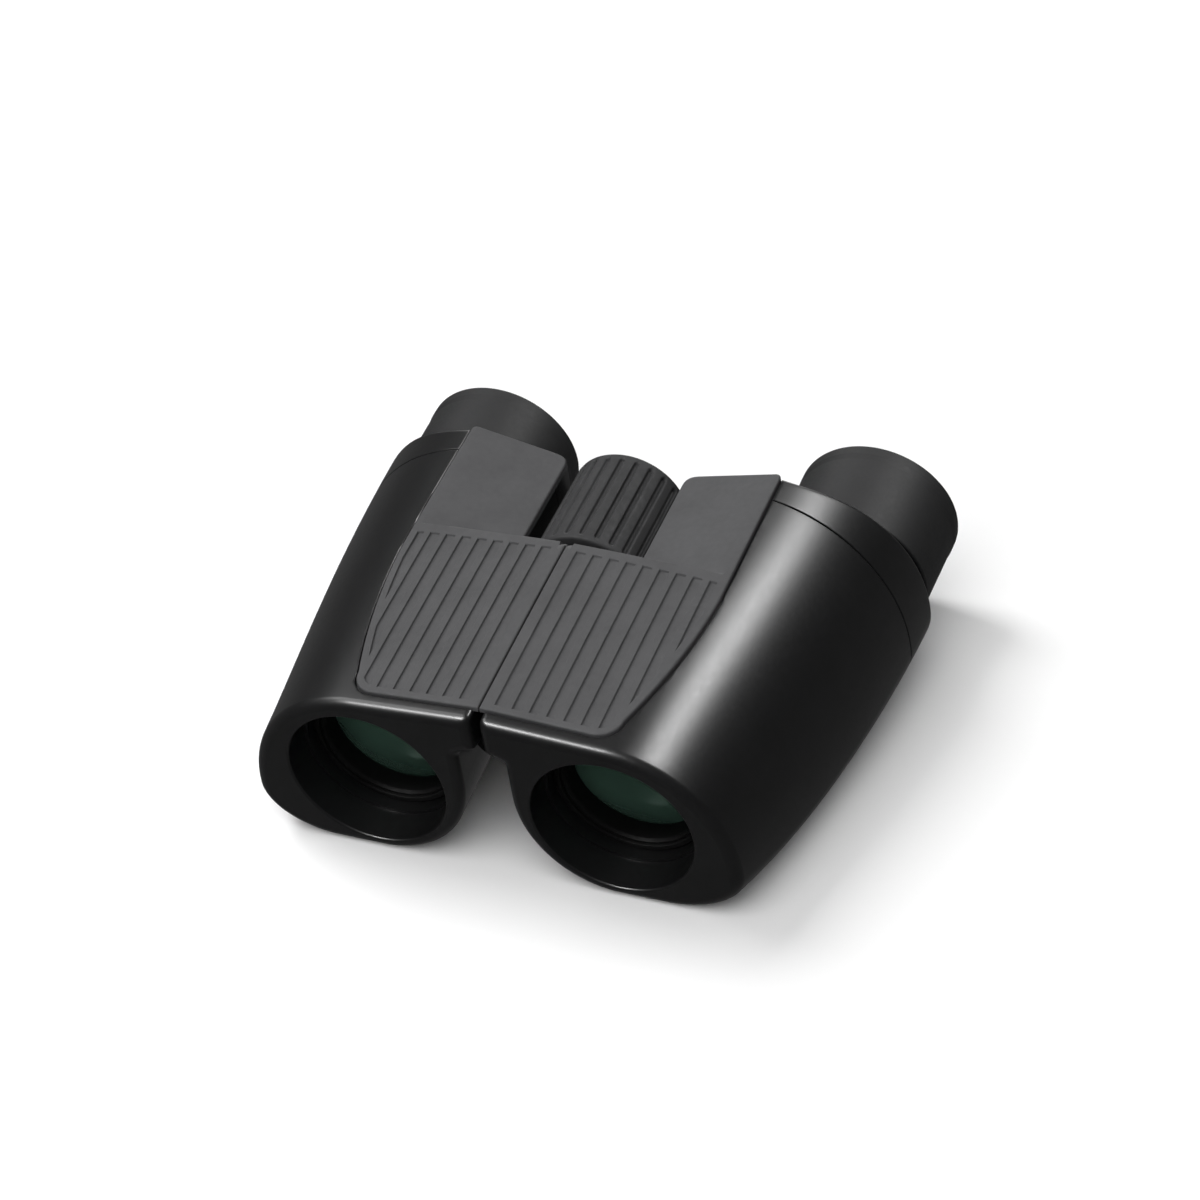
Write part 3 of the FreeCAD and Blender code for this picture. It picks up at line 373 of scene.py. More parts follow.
def settle(thing, name, body, finish, slot, *nodes):
    """Puts a finished piece in the frame, on its body, with its material."""
    thing.data.transform(TO_ROW)
    thing.data.update()
    thing.name = name
    thing.data.name = name
    thing.data.materials.clear()
    thing.data.materials.append(finish)
    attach(thing, body)
    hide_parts(*nodes)
    return thing


def mirrored(thing):
    """A mirror image of a piece, for the left half."""
    twin = thing.copy()
    twin.data = thing.data.copy()
    bpy.context.scene.collection.objects.link(twin)
    twin.data.transform(MIRROR)
    twin.data.flip_normals()
    return twin


# ---------------------------------------------------------------- form of one barrel


def along(size, fraction):
    """One of the outline's sizes, at a fraction of the way from front to rear."""
    front, rear, power = size
    return front + (rear - front) * (1.0 - max(0.0, 1.0 - fraction) ** power)


def section(y, inset=0.0):
    """The sizes of the barrel's outline at y, with its surface moved inwards by inset."""
    part = (y - FRONT) / (FORM_END - FRONT)
    size = SimpleNamespace()
    size.side = along(SIDE, part) - inset
    size.widest = along(WIDEST, part)
    size.ridge = along(RIDGE, part) - inset
    size.shoulder = along(SHOULDER, part)
    size.foot = FOOT_FRONT - math.tan(PITCH) * (y - FRONT) + inset
    size.belly = along(BELLY, part) - inset
    size.foot_inner = along(FOOT_INNER, part)
    size.inner = along(INNER, part) + inset
    size.inner_rise = along(INNER_RISE, part)
    size.reach = size.side - size.shoulder
    height = size.ridge - ROOF_SLOPE * size.shoulder - size.widest
    size.rise = math.sqrt(height ** 2 - (ROOF_SLOPE * size.reach) ** 2)
    size.turn = math.atan2(size.rise, ROOF_SLOPE * size.reach)
    return size


def roof(x, y, lift=0.0):
    """The height of the barrel's top surface, moved outwards by lift."""
    size = section(y, -lift)
    if x <= size.shoulder + size.reach * math.cos(size.turn):
        return size.ridge - ROOF_SLOPE * x
    across = min(1.0, (x - size.shoulder) / size.reach)
    return size.widest + size.rise * math.sqrt(1.0 - across ** 2)


def ellipse(centre_x, centre_z, radius_x, radius_z, start, end, steps):
    """Points on a stretch of ellipse."""
    points = []
    for step in range(steps + 1):
        angle = start + (end - start) * step / steps
        points.append(Vector((centre_x + radius_x * math.cos(angle),
                              centre_z + radius_z * math.sin(angle))))
    return points


def barrel_outline(y, inset=0.0, flange=True):
    """The barrel's outline at y, as a closed loop of (x, z)."""
    size = section(y, inset)
    loop = ellipse(size.shoulder, size.widest, size.reach, size.rise, size.turn, 0.0, 26)
    loop += ellipse(size.side - size.belly, size.widest, size.belly,
                    size.widest - size.foot, 0.0, -QUARTER, 20)[1:]
    loop += ellipse(size.foot_inner, size.inner_rise, size.foot_inner - size.inner,
                    size.inner_rise - size.foot, -QUARTER, -2.0 * QUARTER, 18)
    top_out = loop[0]
    if flange:
        middle = HALF_GAP + inset
        corners = [
            loop[-1],
            Vector((size.inner, FLANGE_Z + inset)),
            Vector((middle, FLANGE_Z + FLANGE_RISE + inset)),
            Vector((middle, size.ridge - ROOF_SLOPE * middle)),
            top_out,
        ]
        loop += rounded(corners, (1.5, 0.6, 1.1))
    else:
        corners = [loop[-1], Vector((size.inner, size.ridge - ROOF_SLOPE * size.inner)), top_out]
        loop += rounded(corners, (1.0,))
    loop += stretch(loop[-1], top_out, 8)
    return loop


def lofted_barrel(name, stations, flange=True):
    """A barrel form through (y, inset) stations."""
    rings = []
    for y, inset in stations:
        rings.append([(x, y, z) for x, z in barrel_outline(y, inset, flange)])
    return loft(name, rings)


def evenly(first, last, steps, inset=0.0):
    """Stations evenly spaced."""
    return [(first + (last - first) * step / steps, inset) for step in range(steps + 1)]


def quarter_round(edge, radius, direction, steps):
    """Stations that round an end's edge, from the edge towards the middle of the form."""
    stations = []
    for step in range(steps):
        angle = QUARTER * step / steps
        stations.append((edge + direction * radius * (1.0 - math.cos(angle)),
                         radius * (1.0 - math.sin(angle))))
    return stations


def tongue_top(x):
    """The height of the tongue's plane."""
    slope = (TONGUE_HIGH - TONGUE_LOW) / (PANEL_WAIST[0] - TONGUE_INNER)
    return TONGUE_LOW + slope * (x - TONGUE_INNER)


def under_tongue(extra):
    """The room over the tongue's bed, with its underside lowered by extra."""
    edge = PANEL_WAIST[0] + 1.0
    down = TONGUE_THICKNESS + extra
    profile = [(-1.0, TONGUE_LOW - down), (TONGUE_INNER, TONGUE_LOW - down),
               (edge, tongue_top(edge) - down), (edge, TALL), (-1.0, TALL)]
    return extruded("beside", profile, ROOT - extra, FAR)


def wheel_slot(extra=0.0):
    """The slot that the focus wheel turns in, with extra all round."""
    return box("slot", (-1.0, SLOT_FRONT - extra, -30.0), (SLOT_HALF + extra, FAR, FAR))


# ---------------------------------------------------------------- grip panel plan


def arc_through(start, middle, end, steps):
    """Points on the circle through three points."""
    ax, ay = start
    bx, by = middle
    cx, cy = end
    d = 2.0 * (ax * (by - cy) + bx * (cy - ay) + cx * (ay - by))
    ux = ((ax ** 2 + ay ** 2) * (by - cy) + (bx ** 2 + by ** 2) * (cy - ay)
          + (cx ** 2 + cy ** 2) * (ay - by)) / d
    uy = ((ax ** 2 + ay ** 2) * (cx - bx) + (bx ** 2 + by ** 2) * (ax - cx)
          + (cx ** 2 + cy ** 2) * (bx - ax)) / d
    centre = Vector((ux, uy))
    first = Vector(start) - centre
    last = Vector(end) - centre
    turn = first.angle_signed(last)
    points = []
    for step in range(steps + 1):
        points.append(centre + Matrix.Rotation(-turn * step / steps, 2) @ first)
    return points


def panel_plan(notch=True):
    """The panel's outline seen from above, as a closed loop that runs anticlockwise."""
    cut_off = PANEL_CORNER * (1.0 - math.sqrt(0.5))
    front_x = PANEL_FRONT_X
    corner = arc_through((front_x - PANEL_CORNER, PANEL_FRONT),
                         (front_x - cut_off, PANEL_FRONT + cut_off),
                         (front_x, PANEL_FRONT + PANEL_CORNER), 10)
    side = arc_through(corner[-1], PANEL_BULGE, PANEL_WAIST, 30)
    loop = [Vector((PANEL_SEAM, PANEL_FRONT))]
    loop += stretch(loop[0], corner[0], 12)
    loop += corner + side[1:]
    rear_x = PANEL_WAIST[0]
    inner_x = TONGUE_INNER if notch else PANEL_SEAM
    corners = [side[-1], Vector((rear_x, PANEL_REAR)), Vector((inner_x, PANEL_REAR)),
               Vector((inner_x, WHEEL_NOTCH if notch else PANEL_FRONT))]
    loop += stretch(side[-1], corners[1], 16)
    loop += rounded(corners, (TONGUE_CORNER_OUTER, TONGUE_CORNER_INNER), 6)
    if notch:
        loop += [Vector((inner_x, 0.0)).lerp(Vector((inner_x, PANEL_REAR)), step / 14.0)
                 for step in range(12, 0, -1)]
        loop += rounded([Vector((inner_x, 2.0)), Vector((inner_x, WHEEL_NOTCH)),
                         Vector((0.0, WHEEL_NOTCH))], (0.4,), 3)
        at_seam = Vector((PANEL_SEAM, WHEEL_NOTCH))
        loop += stretch(Vector((inner_x, WHEEL_NOTCH)), at_seam, 8) + [at_seam]
    loop += stretch(loop[-1], loop[0], 30)
    return loop


def grown(loop, amount):
    """An anticlockwise loop moved outwards by amount, point for point."""
    moved = []
    for index, point in enumerate(loop):
        before = (point - loop[index - 1]).normalized()
        after = (loop[(index + 1) % len(loop)] - point).normalized()
        normal = Vector((before.y, -before.x)) + Vector((after.y, -after.x))
        normal /= max(0.5, normal.dot(Vector((after.y, -after.x))))
        moved.append(point + normal * amount)
    return moved


def inside(point, loop):
    """Whether a point lies inside a closed loop."""
    result = False
    for index, end in enumerate(loop):
        start = loop[index - 1]
        if (start.y > point.y) != (end.y > point.y):
            crossing = start.x + (point.y - start.y) / (end.y - start.y) * (end.x - start.x)
            if point.x < crossing:
                result = not result
    return result


def spaced(first, end, step):
    """Numbers a step apart, from first up to below end."""
    numbers = []
    while first < end:
        numbers.append(first)
        first += step
    return numbers


def grid(xs, ys, room):
    """The places of a grid that lie inside a loop."""
    places = [Vector((x, y)) for y in ys for x in xs]
    return [place for place in places if inside(place, room)]


def front_of(loop, x):
    """The lowest y at which a line of constant x crosses a loop, or None."""
    lowest = None
    for index, end in enumerate(loop):
        start = loop[index - 1]
        if min(start.x, end.x) <= x <= max(start.x, end.x) and abs(end.x - start.x) > 1e-9:
            y = start.y + (x - start.x) / (end.x - start.x) * (end.y - start.y)
            if lowest is None or y < lowest:
                lowest = y
    return lowest


def filled(places, loops):
    """Triangles over places, inside the outermost of the loops of their numbers. Gives the
    triangles' own places, the triangles, and which of the given places each one is."""
    edges = []
    for loop in loops:
        edges += list(zip(loop, loop[1:] + loop[:1]))
    flat, _, triangles, origins, _, _ = delaunay_2d_cdt(places, edges, [], 1, 1e-5)
    return flat, triangles, origins


def lifted(name, plan, loops, top, bottom):
    """A closed solid over a plan. plan holds (place, drop) pairs, loops join them, and the
    top surface at each is top(x, y) less its drop."""
    flat, kept, origins = filled([place for place, _ in plan], loops)
    points = []
    for place, origin in zip(flat, origins):
        drop = plan[origin[0]][1] if origin else 0.0
        points.append((place.x, place.y, top(place.x, place.y) - drop))
    points += [(place.x, place.y, bottom(place.x, place.y)) for place in flat]
    shift = len(flat)
    faces = [list(triangle) for triangle in kept]
    faces += [[i + shift for i in reversed(triangle)] for triangle in kept]
    directed = set()
    for triangle in kept:
        directed.update(zip(triangle, triangle[1:] + triangle[:1]))
    for a, b in directed:
        if (b, a) not in directed:
            faces.append([b, a, a + shift, b + shift])
    return mesh_object(name, points, faces)


def blend_low(a, b, width):
    """The lower of two heights, with a soft change between them."""
    share = max(width - abs(a - b), 0.0) / width
    return min(a, b) - share * share * width / 4.0


def panel_top(x, y):
    """The panel's upper surface: the ribbed field, its riser and the tongue."""
    slope = (RISER_HIGH - RISER_LOW) / (RISER_FOOT - RISER_TOP)
    riser = RISER_HIGH - slope * (y - RISER_TOP)
    rear = -blend_low(-tongue_top(x), -riser, RISER_BEND)
    return blend_low(roof(x, y, PANEL_RISE), rear, RISER_BEND)


def panel_bottom(x, y):
    """The panel's underside."""
    if y < ROOT:
        return roof(x, y, -PANEL_SUNK)
    return tongue_top(max(x, TONGUE_INNER)) - TONGUE_THICKNESS


def groove_loop(number, outline, inward):
    """One groove's outline seen from above, made smaller by inward, or None."""
    middle = GROOVE_FIRST + number * GROOVE_PITCH
    half = GROOVE_WIDTH / 2.0 - inward
    border = grown(outline, -GROOVE_MARGIN - inward)
    rear = GROOVE_REAR - inward
    front_edge = []
    steps = 7
    for step in range(steps + 1):
        x = middle - half + 2.0 * half * step / steps
        y = front_of(border, x)
        if y is not None and y < rear - 0.3:
            front_edge.append(Vector((x, y)))
    if len(front_edge) < 4:
        return None
    right = front_edge[-1].x
    left = front_edge[0].x
    rear_edge = [Vector((right, rear)), Vector(((right + left) / 2.0, rear)), Vector((left, rear))]
    return (front_edge + stretch(front_edge[-1], rear_edge[0], 24)
            + rear_edge + stretch(rear_edge[-1], front_edge[0], 24))


def grip_panel():
    """The grip panel of the right half."""
    outline = panel_plan()
    plan = []
    loops = []

    def add_loop(points, drop):
        start = len(plan)
        plan.extend((point, drop) for point in points)
        loops.append(list(range(start, len(plan))))

    steps = 4
    for step in range(steps + 1):
        angle = QUARTER * step / steps
        inward = PANEL_EDGE * (1.0 - math.cos(angle))
        add_loop(grown(outline, -inward), PANEL_EDGE * (1.0 - math.sin(angle)))
    add_loop(grown(outline, -0.9), 0.0)
    for number in range(GROOVE_COUNT):
        for inward, depth in GROOVE_PROFILE:
            loop = groove_loop(number, outline, inward)
            if loop:
                add_loop(loop, depth)

    room = grown(outline, -1.05)
    border = grown(outline, -GROOVE_MARGIN - 1.0)
    for column in range(2 * GROOVE_COUNT):
        x = GROOVE_FIRST + (column - 1) * GROOVE_PITCH / 2.0
        drop = GROOVE_DEPTH if column % 2 == 1 else 0.0
        front = front_of(border, x)
        if front is not None:
            rows = spaced(front, GROOVE_REAR - 0.6, 1.3)
            plan += [(place, drop) for place in grid([x], rows, room)]
    riser = grid([1.2 + column * 1.0 for column in range(26)],
                 spaced(GROOVE_REAR + 0.25, RISER_FOOT + 0.4, 0.2), room)
    tongue = grid([TONGUE_INNER + 1.3 + column * 1.4 for column in range(11)],
                  [RISER_FOOT + 1.2 + row * 1.55 for row in range(14)], room)
    plan += [(place, 0.0) for place in riser + tongue]
    panel = lifted("grip_panel", plan, loops, panel_top, panel_bottom)
    smooth(panel, 50.0)
    return panel


def seat_cutter():
    """What is taken off shell and cover for the panel, with a rounded lip at the surface."""
    outline = panel_plan(notch=False)
    low = grown(outline, PANEL_GAP)
    levels = [(low, lambda x, y: panel_bottom(x, y) - 0.03)]
    for step in range(4):
        angle = QUARTER * step / 3.0
        out = PANEL_GAP + SEAT_LIP * (1.0 - math.cos(angle))
        down = SEAT_LIP * (1.0 - math.sin(angle))
        levels.append((grown(outline, out), lambda x, y, down=down: max(
            min(roof(x, y), TALL) - down, panel_bottom(x, y) + 0.1)))
    levels.append((grown(outline, PANEL_GAP + SEAT_LIP), lambda x, y: TALL))

    columns = [0.9 + column * 1.5 for column in range(19)]
    rows = [y for y in spaced(PANEL_FRONT + 1.2, PANEL_REAR, 2.0) if abs(y - ROOT) > 0.4]
    plan = list(low) + grid(columns, rows, grown(outline, -0.7))
    for y in (ROOT - 0.06, ROOT + 0.06):
        plan += [Vector((x, y)) for x in columns[:-1]]
    rim = list(range(len(low)))
    flat, triangles, origins = filled(plan, [rim])
    index_of = {}
    for index, origin in enumerate(origins):
        for first in origin:
            index_of[first] = index
    points = [(p.x, p.y, levels[0][1](p.x, p.y)) for p in flat]
    faces = [list(triangle) for triangle in triangles]
    count = len(low)
    below = [index_of[i] for i in rim]
    for loop, height in levels[1:]:
        start = len(points)
        points += [(p.x, p.y, height(p.x, p.y)) for p in loop]
        above = [start + i for i in range(count)]
        for i in range(count):
            j = (i + 1) % count
            faces.append([below[i], below[j], above[j], above[i]])
        below = above
    faces.append(below)
    return mesh_object("seat", points, faces)


# ---------------------------------------------------------------- shell and cover


def guide_and_posts():
    """What stands inside the shell: the objective's guide tube and the posts for screws."""
    tube = rod("tube", GUIDE_RADIUS + GUIDE_WALL, FRONT + 0.5, GUIDE_END, OBJECTIVE)
    posts = [rod("post", POST_RADIUS, POST_FRONT, SEAM - 0.1, post, 24) for post in POSTS]
    combine(tube, posts, "UNION")
    return combine(tube, [lofted_barrel("form", evenly(FRONT, SEAM + 1.0, 30, 0.3))],
                   "INTERSECT")


def mouth_cutter():
    """The room in front of and around the objective, with a rounded lip."""
    profile = [(0.0, FRONT - 1.0), (MOUTH_RADIUS + MOUTH_LIP, FRONT - 1.0)]
    for step in range(7):
        angle = QUARTER * step / 6.0
        profile.append((MOUTH_RADIUS + MOUTH_LIP * (1.0 - math.sin(angle)),
                        FRONT + MOUTH_LIP * (1.0 - math.cos(angle))))
    profile += [(MOUTH_RADIUS, FRONT + MOUTH_DEPTH), (GUIDE_RADIUS, FRONT + MOUTH_DEPTH),
                (GUIDE_RADIUS, GUIDE_END + 1.0), (0.0, GUIDE_END + 1.0)]
    return turned("mouth", profile, OBJECTIVE, 160)


def barrel_shell(side):
    """The barrel shell of one half, drawn as the right one, in front of the seam."""
    others = KNUCKLES["left" if side == "right" else "right"]
    stations = quarter_round(FRONT, FRONT_ROUND, 1.0, 8)
    stations += evenly(FRONT + FRONT_ROUND, SEAM - SEAM_ROUND, 40)
    stations += reversed(quarter_round(SEAM, SEAM_ROUND, -1.0, 4))
    shell = lofted_barrel("shell", stations)
    hollow = lofted_barrel("hollow", evenly(FRONT + FRONT_WALL, SEAM + 1.0, 24, WALL), False)
    combine(hollow, [under_tongue(WALL), wheel_slot(WALL)])
    combine(shell, [hollow])
    combine(shell, [guide_and_posts()], "UNION")

    away = [
        rod("bay", BAY_RADIUS, BAY[0], BAY[1], HINGE),
        box("arm_slot", (2.0, BAY[0] + 4.0, HINGE_Z - 7.0), (10.0, BAY[1] - 2.0, HINGE_Z + 1.5)),
        wheel_slot(),
        seat_cutter(),
    ]
    away += [rod("room", KNUCKLE_CLEAR, first - KNUCKLE_ROOM, last + KNUCKLE_ROOM, HINGE)
             for first, last in others]
    combine(shell, away)
    combine(shell, [rod("knuckle", KNUCKLE_RADIUS, first, last, HINGE)
                    for first, last in KNUCKLES[side]], "UNION")

    bores = [mouth_cutter(), rod("bore", PIN_BORE, *PIN_BORE_ENDS, HINGE)]
    bores += [rod("thread", SCREW_RADIUS - 0.15, POST_FRONT + 3.0, FAR, post, 24)
              for post in POSTS]
    combine(shell, bores)
    smooth(shell, 34.0)
    return shell


def face_y(x):
    """Where the cover's rear face is: straight beside the tongue, then raked."""
    over = x - RAKE_START
    if over <= 0.0:
        return COVER_REAR
    if over < RAKE_CURVE:
        return COVER_REAR + RAKE * over ** 2 / (2.0 * RAKE_CURVE)
    return COVER_REAR + RAKE * (over - RAKE_CURVE / 2.0)


def cover_form():
    """The outer form of the cover, from the seam to its raked face, with rounded edges."""
    first = SEAM + SEAM_GAP
    count = len(barrel_outline(SEAM, 0.0, False))
    rear = []
    for index in range(count):
        y = COVER_REAR
        for _ in range(5):
            y = face_y(barrel_outline(y, 0.0, False)[index].x)
        rear.append(y)

    rings = []

    def add_ring(share, shift, inset):
        ring = []
        for index in range(count):
            y = first + share * (rear[index] - first) + shift
            x, z = barrel_outline(y, inset, False)[index]
            ring.append((x, y, z))
        rings.append(ring)

    for shift, inset in quarter_round(0.0, SEAM_ROUND, 1.0, 4):
        add_ring(0.0, shift, inset)
    for step in range(11):
        share = step / 10.0
        add_ring(share, SEAM_ROUND * (1.0 - share) - COVER_ROUND * share, 0.0)
    for shift, inset in reversed(quarter_round(0.0, COVER_ROUND, -1.0, 7)):
        add_ring(1.0, shift, inset)

    points = [point for ring in rings for point in ring]
    faces = [list(range(count))] + belts(rings)

    last = len(points) - count
    edge = [Vector((x, z)) for x, _, z in rings[-1]]
    plan = edge + grid([11.0 + 1.7 * column for column in range(24)],
                       [-9.0 + 1.7 * row for row in range(28)], grown(edge[::-1], -1.5))
    flat, triangles, origins = filled(plan, [list(range(count))])
    index_of = {}
    for index, (place, origin) in enumerate(zip(flat, origins)):
        if origin and origin[0] < count:
            index_of[index] = last + origin[0]
        else:
            index_of[index] = len(points)
            points.append((place.x, face_y(place.x), place.y))
    faces += [[index_of[i] for i in triangle] for triangle in triangles]
    return mesh_object("cover", points, faces)


def rear_cover():
    """The cover behind the seam, with the eyepiece opening."""
    cover = cover_form()
    inner_face = COVER_REAR - 2.3
    hollow = lofted_barrel("hollow", evenly(SEAM - 1.0, inner_face, 6, WALL), False)
    combine(hollow, [under_tongue(WALL), wheel_slot(WALL)])
    away = [
        hollow,
        rod("hole", HOLE_RADIUS, 0.0, FAR, EYEPIECE, 160),
        rod("collar_room", COLLAR_ROOM, 0.0, COLLAR_ROOM_END, EYEPIECE, 96),
        wheel_slot(),
        seat_cutter(),
    ]
    for post in POSTS:
        away.append(rod("thread", SCREW_RADIUS, 0.0, FAR, post, 24))
        away.append(rod("head", SCREW_HEAD, SCREW_SEAT, FAR, post, 32))
    combine(cover, away)
    smooth(cover, 34.0)
    return cover


# ---------------------------------------------------------------- turned pieces


def turned_piece(name, corners, centre, first, segments=160):
    """A turned piece from corners (radius, length from its front end, rounding)."""
    profile = round_profile([(radius, first + length, rounding)
                             for radius, length, rounding in corners])
    piece = turned(name, profile, centre, segments)
    smooth(piece)
    return piece


def eyecup():
    """The rubber eyecup, with a thicker lip and a sunk middle."""
    return turned_piece("eyecup", (
        (12.23, 0.0, 0.2), (13.9, 0.0, 0.45), (14.1, 14.2, 1.5), (14.25, 15.4, 1.2),
        (14.25, 17.55, 0.55), (12.3, 17.55, 0.6), (11.2, 16.4, 0.6), (10.6, 11.45, 0.3),
        (12.23, 11.45, 0.0),
    ), EYEPIECE, 28.3)


def eyepiece_collar():
    """The ring round the eyepiece tube, with a flange at its front end."""
    return turned_piece("collar", (
        (12.26, 0.0, 0.0), (13.85, 0.0, 0.12), (13.85, 1.4, 0.12), (13.5, 1.4, 0.0),
        (13.5, 9.6, 0.5), (12.26, 9.6, 0.15),
    ), EYEPIECE, 17.6)


def objective_cell():
    """The sliding cell that holds the objective lens."""
    return turned_piece("cell", (
        (11.9, 0.0, 0.15), (12.92, 0.0, 0.35), (12.92, 15.5, 0.15), (10.5, 15.5, 0.0),
        (10.5, 7.9, 0.0), (11.9, 7.9, 0.0),
    ), OBJECTIVE, -36.4)


def objective_ring():
    """The ring that holds the lens in its cell."""
    return turned_piece("ring", (
        (11.2, 3.8, 0.0), (11.2, 0.55, 0.12), (11.5, 0.0, 0.1), (11.85, 0.0, 0.1),
        (11.85, 3.8, 0.0),
    ), OBJECTIVE, -35.9)


def lens(name, radius, front_curve, back_curve, thickness, centre, pole):
    """A lens that bulges at both ends, from its front pole."""
    profile = []
    steps = 14
    for step in range(steps + 1):
        r = radius * step / steps
        profile.append((r, pole + front_curve - math.sqrt(front_curve ** 2 - r ** 2)))
    for step in range(steps, -1, -1):
        r = radius * step / steps
        sag = back_curve - math.sqrt(back_curve ** 2 - r ** 2)
        profile.append((r, pole + thickness - sag))
    piece = turned(name, profile, centre, 96)
    smooth(piece)
    return piece


def eyepiece_tube():
    """The tube that carries the eyepiece's lenses."""
    return turned_piece("tube", (
        (9.6, 0.0, 0.2), (12.2, 0.0, 0.3), (12.2, 23.2, 0.3), (8.2, 23.2, 0.3),
        (8.2, 22.2, 0.0), (9.05, 22.2, 0.0), (9.05, 16.7, 0.0), (9.6, 16.7, 0.0),
    ), EYEPIECE, 16.4, 128)


def wheel_sleeve():
    """The rubber sleeve of the focus wheel: round-ended grooves between plain rims."""
    straight = WHEEL_LENGTH - 2.0 * WHEEL_RIM - 2.0 * WHEEL_GROOVE_HALF
    first = WHEEL_RIM + WHEEL_GROOVE_HALF
    last = first + straight
    rows = [0.0, 0.12, 0.3, WHEEL_ROUND, 0.8, WHEEL_RIM]
    rows += [WHEEL_RIM + WHEEL_GROOVE_HALF * part / 5.0 for part in range(1, 6)]
    inner = [first + straight * part / 12.0 for part in range(1, 12)]
    rows = rows + inner + [WHEEL_LENGTH - row for row in reversed(rows)]
    across = (0.0, 0.14, 0.26, 0.34, 0.4, 0.45, 0.52, 0.62, 0.8, 1.05)
    pitch = math.tau / WHEEL_GROOVES
    angles = []
    for groove in range(WHEEL_GROOVES):
        middle = groove * pitch
        for offset in across[:0:-1]:
            angles.append((middle - offset / WHEEL_RADIUS, -offset))
        for offset in across:
            angles.append((middle + offset / WHEEL_RADIUS, offset))

    def depth(offset, row):
        """How far the surface lies below the wheel's radius, beside or in a groove."""
        beyond = max(first - row, row - last, 0.0)
        away = math.hypot(offset, beyond) / WHEEL_GROOVE_HALF
        if away < 1.0:
            return WHEEL_LIP + (WHEEL_GROOVE_DEPTH - WHEEL_LIP) * (1.0 - away ** 4)
        return WHEEL_LIP * max(0.0, 1.0 - (away - 1.0) / WHEEL_LIP_SPREAD) ** 2

    points = []
    for angle, offset in angles:
        for row in rows:
            edge = max(0.0, WHEEL_ROUND - min(row, WHEEL_LENGTH - row))
            radius = WHEEL_RADIUS - depth(offset, row)
            radius -= WHEEL_ROUND - math.sqrt(max(0.0, WHEEL_ROUND ** 2 - edge ** 2))
            points.append((radius * math.sin(angle), WHEEL_FRONT + row,
                           HINGE_Z + radius * math.cos(angle)))
        for row in (rows[-1], rows[0]):
            points.append((WHEEL_BORE * math.sin(angle), WHEEL_FRONT + row,
                           HINGE_Z + WHEEL_BORE * math.cos(angle)))
    sleeve = mesh_object("sleeve", points, around(len(rows) + 2, len(angles)))
    smooth(sleeve, 60.0)
    return sleeve


def hinge_cap():
    """The cap over the front end of the hinge pin."""
    return turned_piece("cap", (
        (0.0, 0.0, 0.0), (3.6, 0.0, 0.7), (3.6, 1.3, 0.0), (0.0, 1.3, 0.0),
    ), HINGE, -37.6, 64)


# ---------------------------------------------------------------- materials

# Nearly all of a noise texture's values lie between these two.
NOISE_LOW = 0.3
NOISE_HIGH = 0.7


def material(name, base, roughness, **inputs):
    """A material with its principled shader, its nodes and links, and its coordinates."""
    made = bpy.data.materials.new(name)
    made.use_nodes = True
    nodes = made.node_tree.nodes
    shader = next(node for node in nodes if node.type == "BSDF_PRINCIPLED")
    shader.inputs["Base Color"].default_value = (*base, 1.0)
    shader.inputs["Roughness"].default_value = roughness
    for key, value in inputs.items():
        shader.inputs[key.replace("_", " ")].default_value = value
    coordinates = nodes.new("ShaderNodeTexCoord")
    return SimpleNamespace(made=made, nodes=nodes, links=made.node_tree.links, shader=shader,
                           place=coordinates.outputs["Object"], bumps=None)


def noise(surface, scale, detail=3.0, stretch=(1.0, 1.0, 1.0)):
    """Noise in metres of the object's own space; scale is in features per metre."""
    mapping = surface.nodes.new("ShaderNodeMapping")
    mapping.inputs["Scale"].default_value = stretch
    texture = surface.nodes.new("ShaderNodeTexNoise")
    texture.inputs["Scale"].default_value = scale
    texture.inputs["Detail"].default_value = detail
    surface.links.new(surface.place, mapping.inputs["Vector"])
    surface.links.new(mapping.outputs["Vector"], texture.inputs["Vector"])
    return texture.outputs["Fac"]


def between(surface, factor, low, high):
    """A value that follows noise from low to high."""
    spread = surface.nodes.new("ShaderNodeMapRange")
    spread.inputs["From Min"].default_value = NOISE_LOW
    spread.inputs["From Max"].default_value = NOISE_HIGH
    spread.inputs["To Min"].default_value = low
    spread.inputs["To Max"].default_value = high
    surface.links.new(factor, spread.inputs["Value"])
    return spread.outputs["Result"]


def tint(surface, factor, low, high):
    """A base colour that follows noise from one colour to another."""
    mix = surface.nodes.new("ShaderNodeMix")
    mix.data_type = "RGBA"
    mix.inputs["A"].default_value = (*low, 1.0)
    mix.inputs["B"].default_value = (*high, 1.0)
    surface.links.new(between(surface, factor, 0.0, 1.0), mix.inputs["Factor"])
    surface.links.new(mix.outputs["Result"], surface.shader.inputs["Base Color"])


def rough(surface, factor, low, high):
    """A roughness that follows noise from low to high."""
    surface.links.new(between(surface, factor, low, high), surface.shader.inputs["Roughness"])


def bump(surface, height, distance, strength):
    """Relief, in metres, laid over any relief that is there already."""
    relief = surface.nodes.new("ShaderNodeBump")
    relief.inputs["Distance"].default_value = distance
    relief.inputs["Strength"].default_value = strength
    surface.links.new(height, relief.inputs["Height"])
    if surface.bumps:
        surface.links.new(surface.bumps, relief.inputs["Normal"])
    surface.bumps = relief.outputs["Normal"]
    surface.links.new(surface.bumps, surface.shader.inputs["Normal"])


def shade(color, factor):
    """A colour made lighter or darker."""
    return tuple(part * factor for part in color)


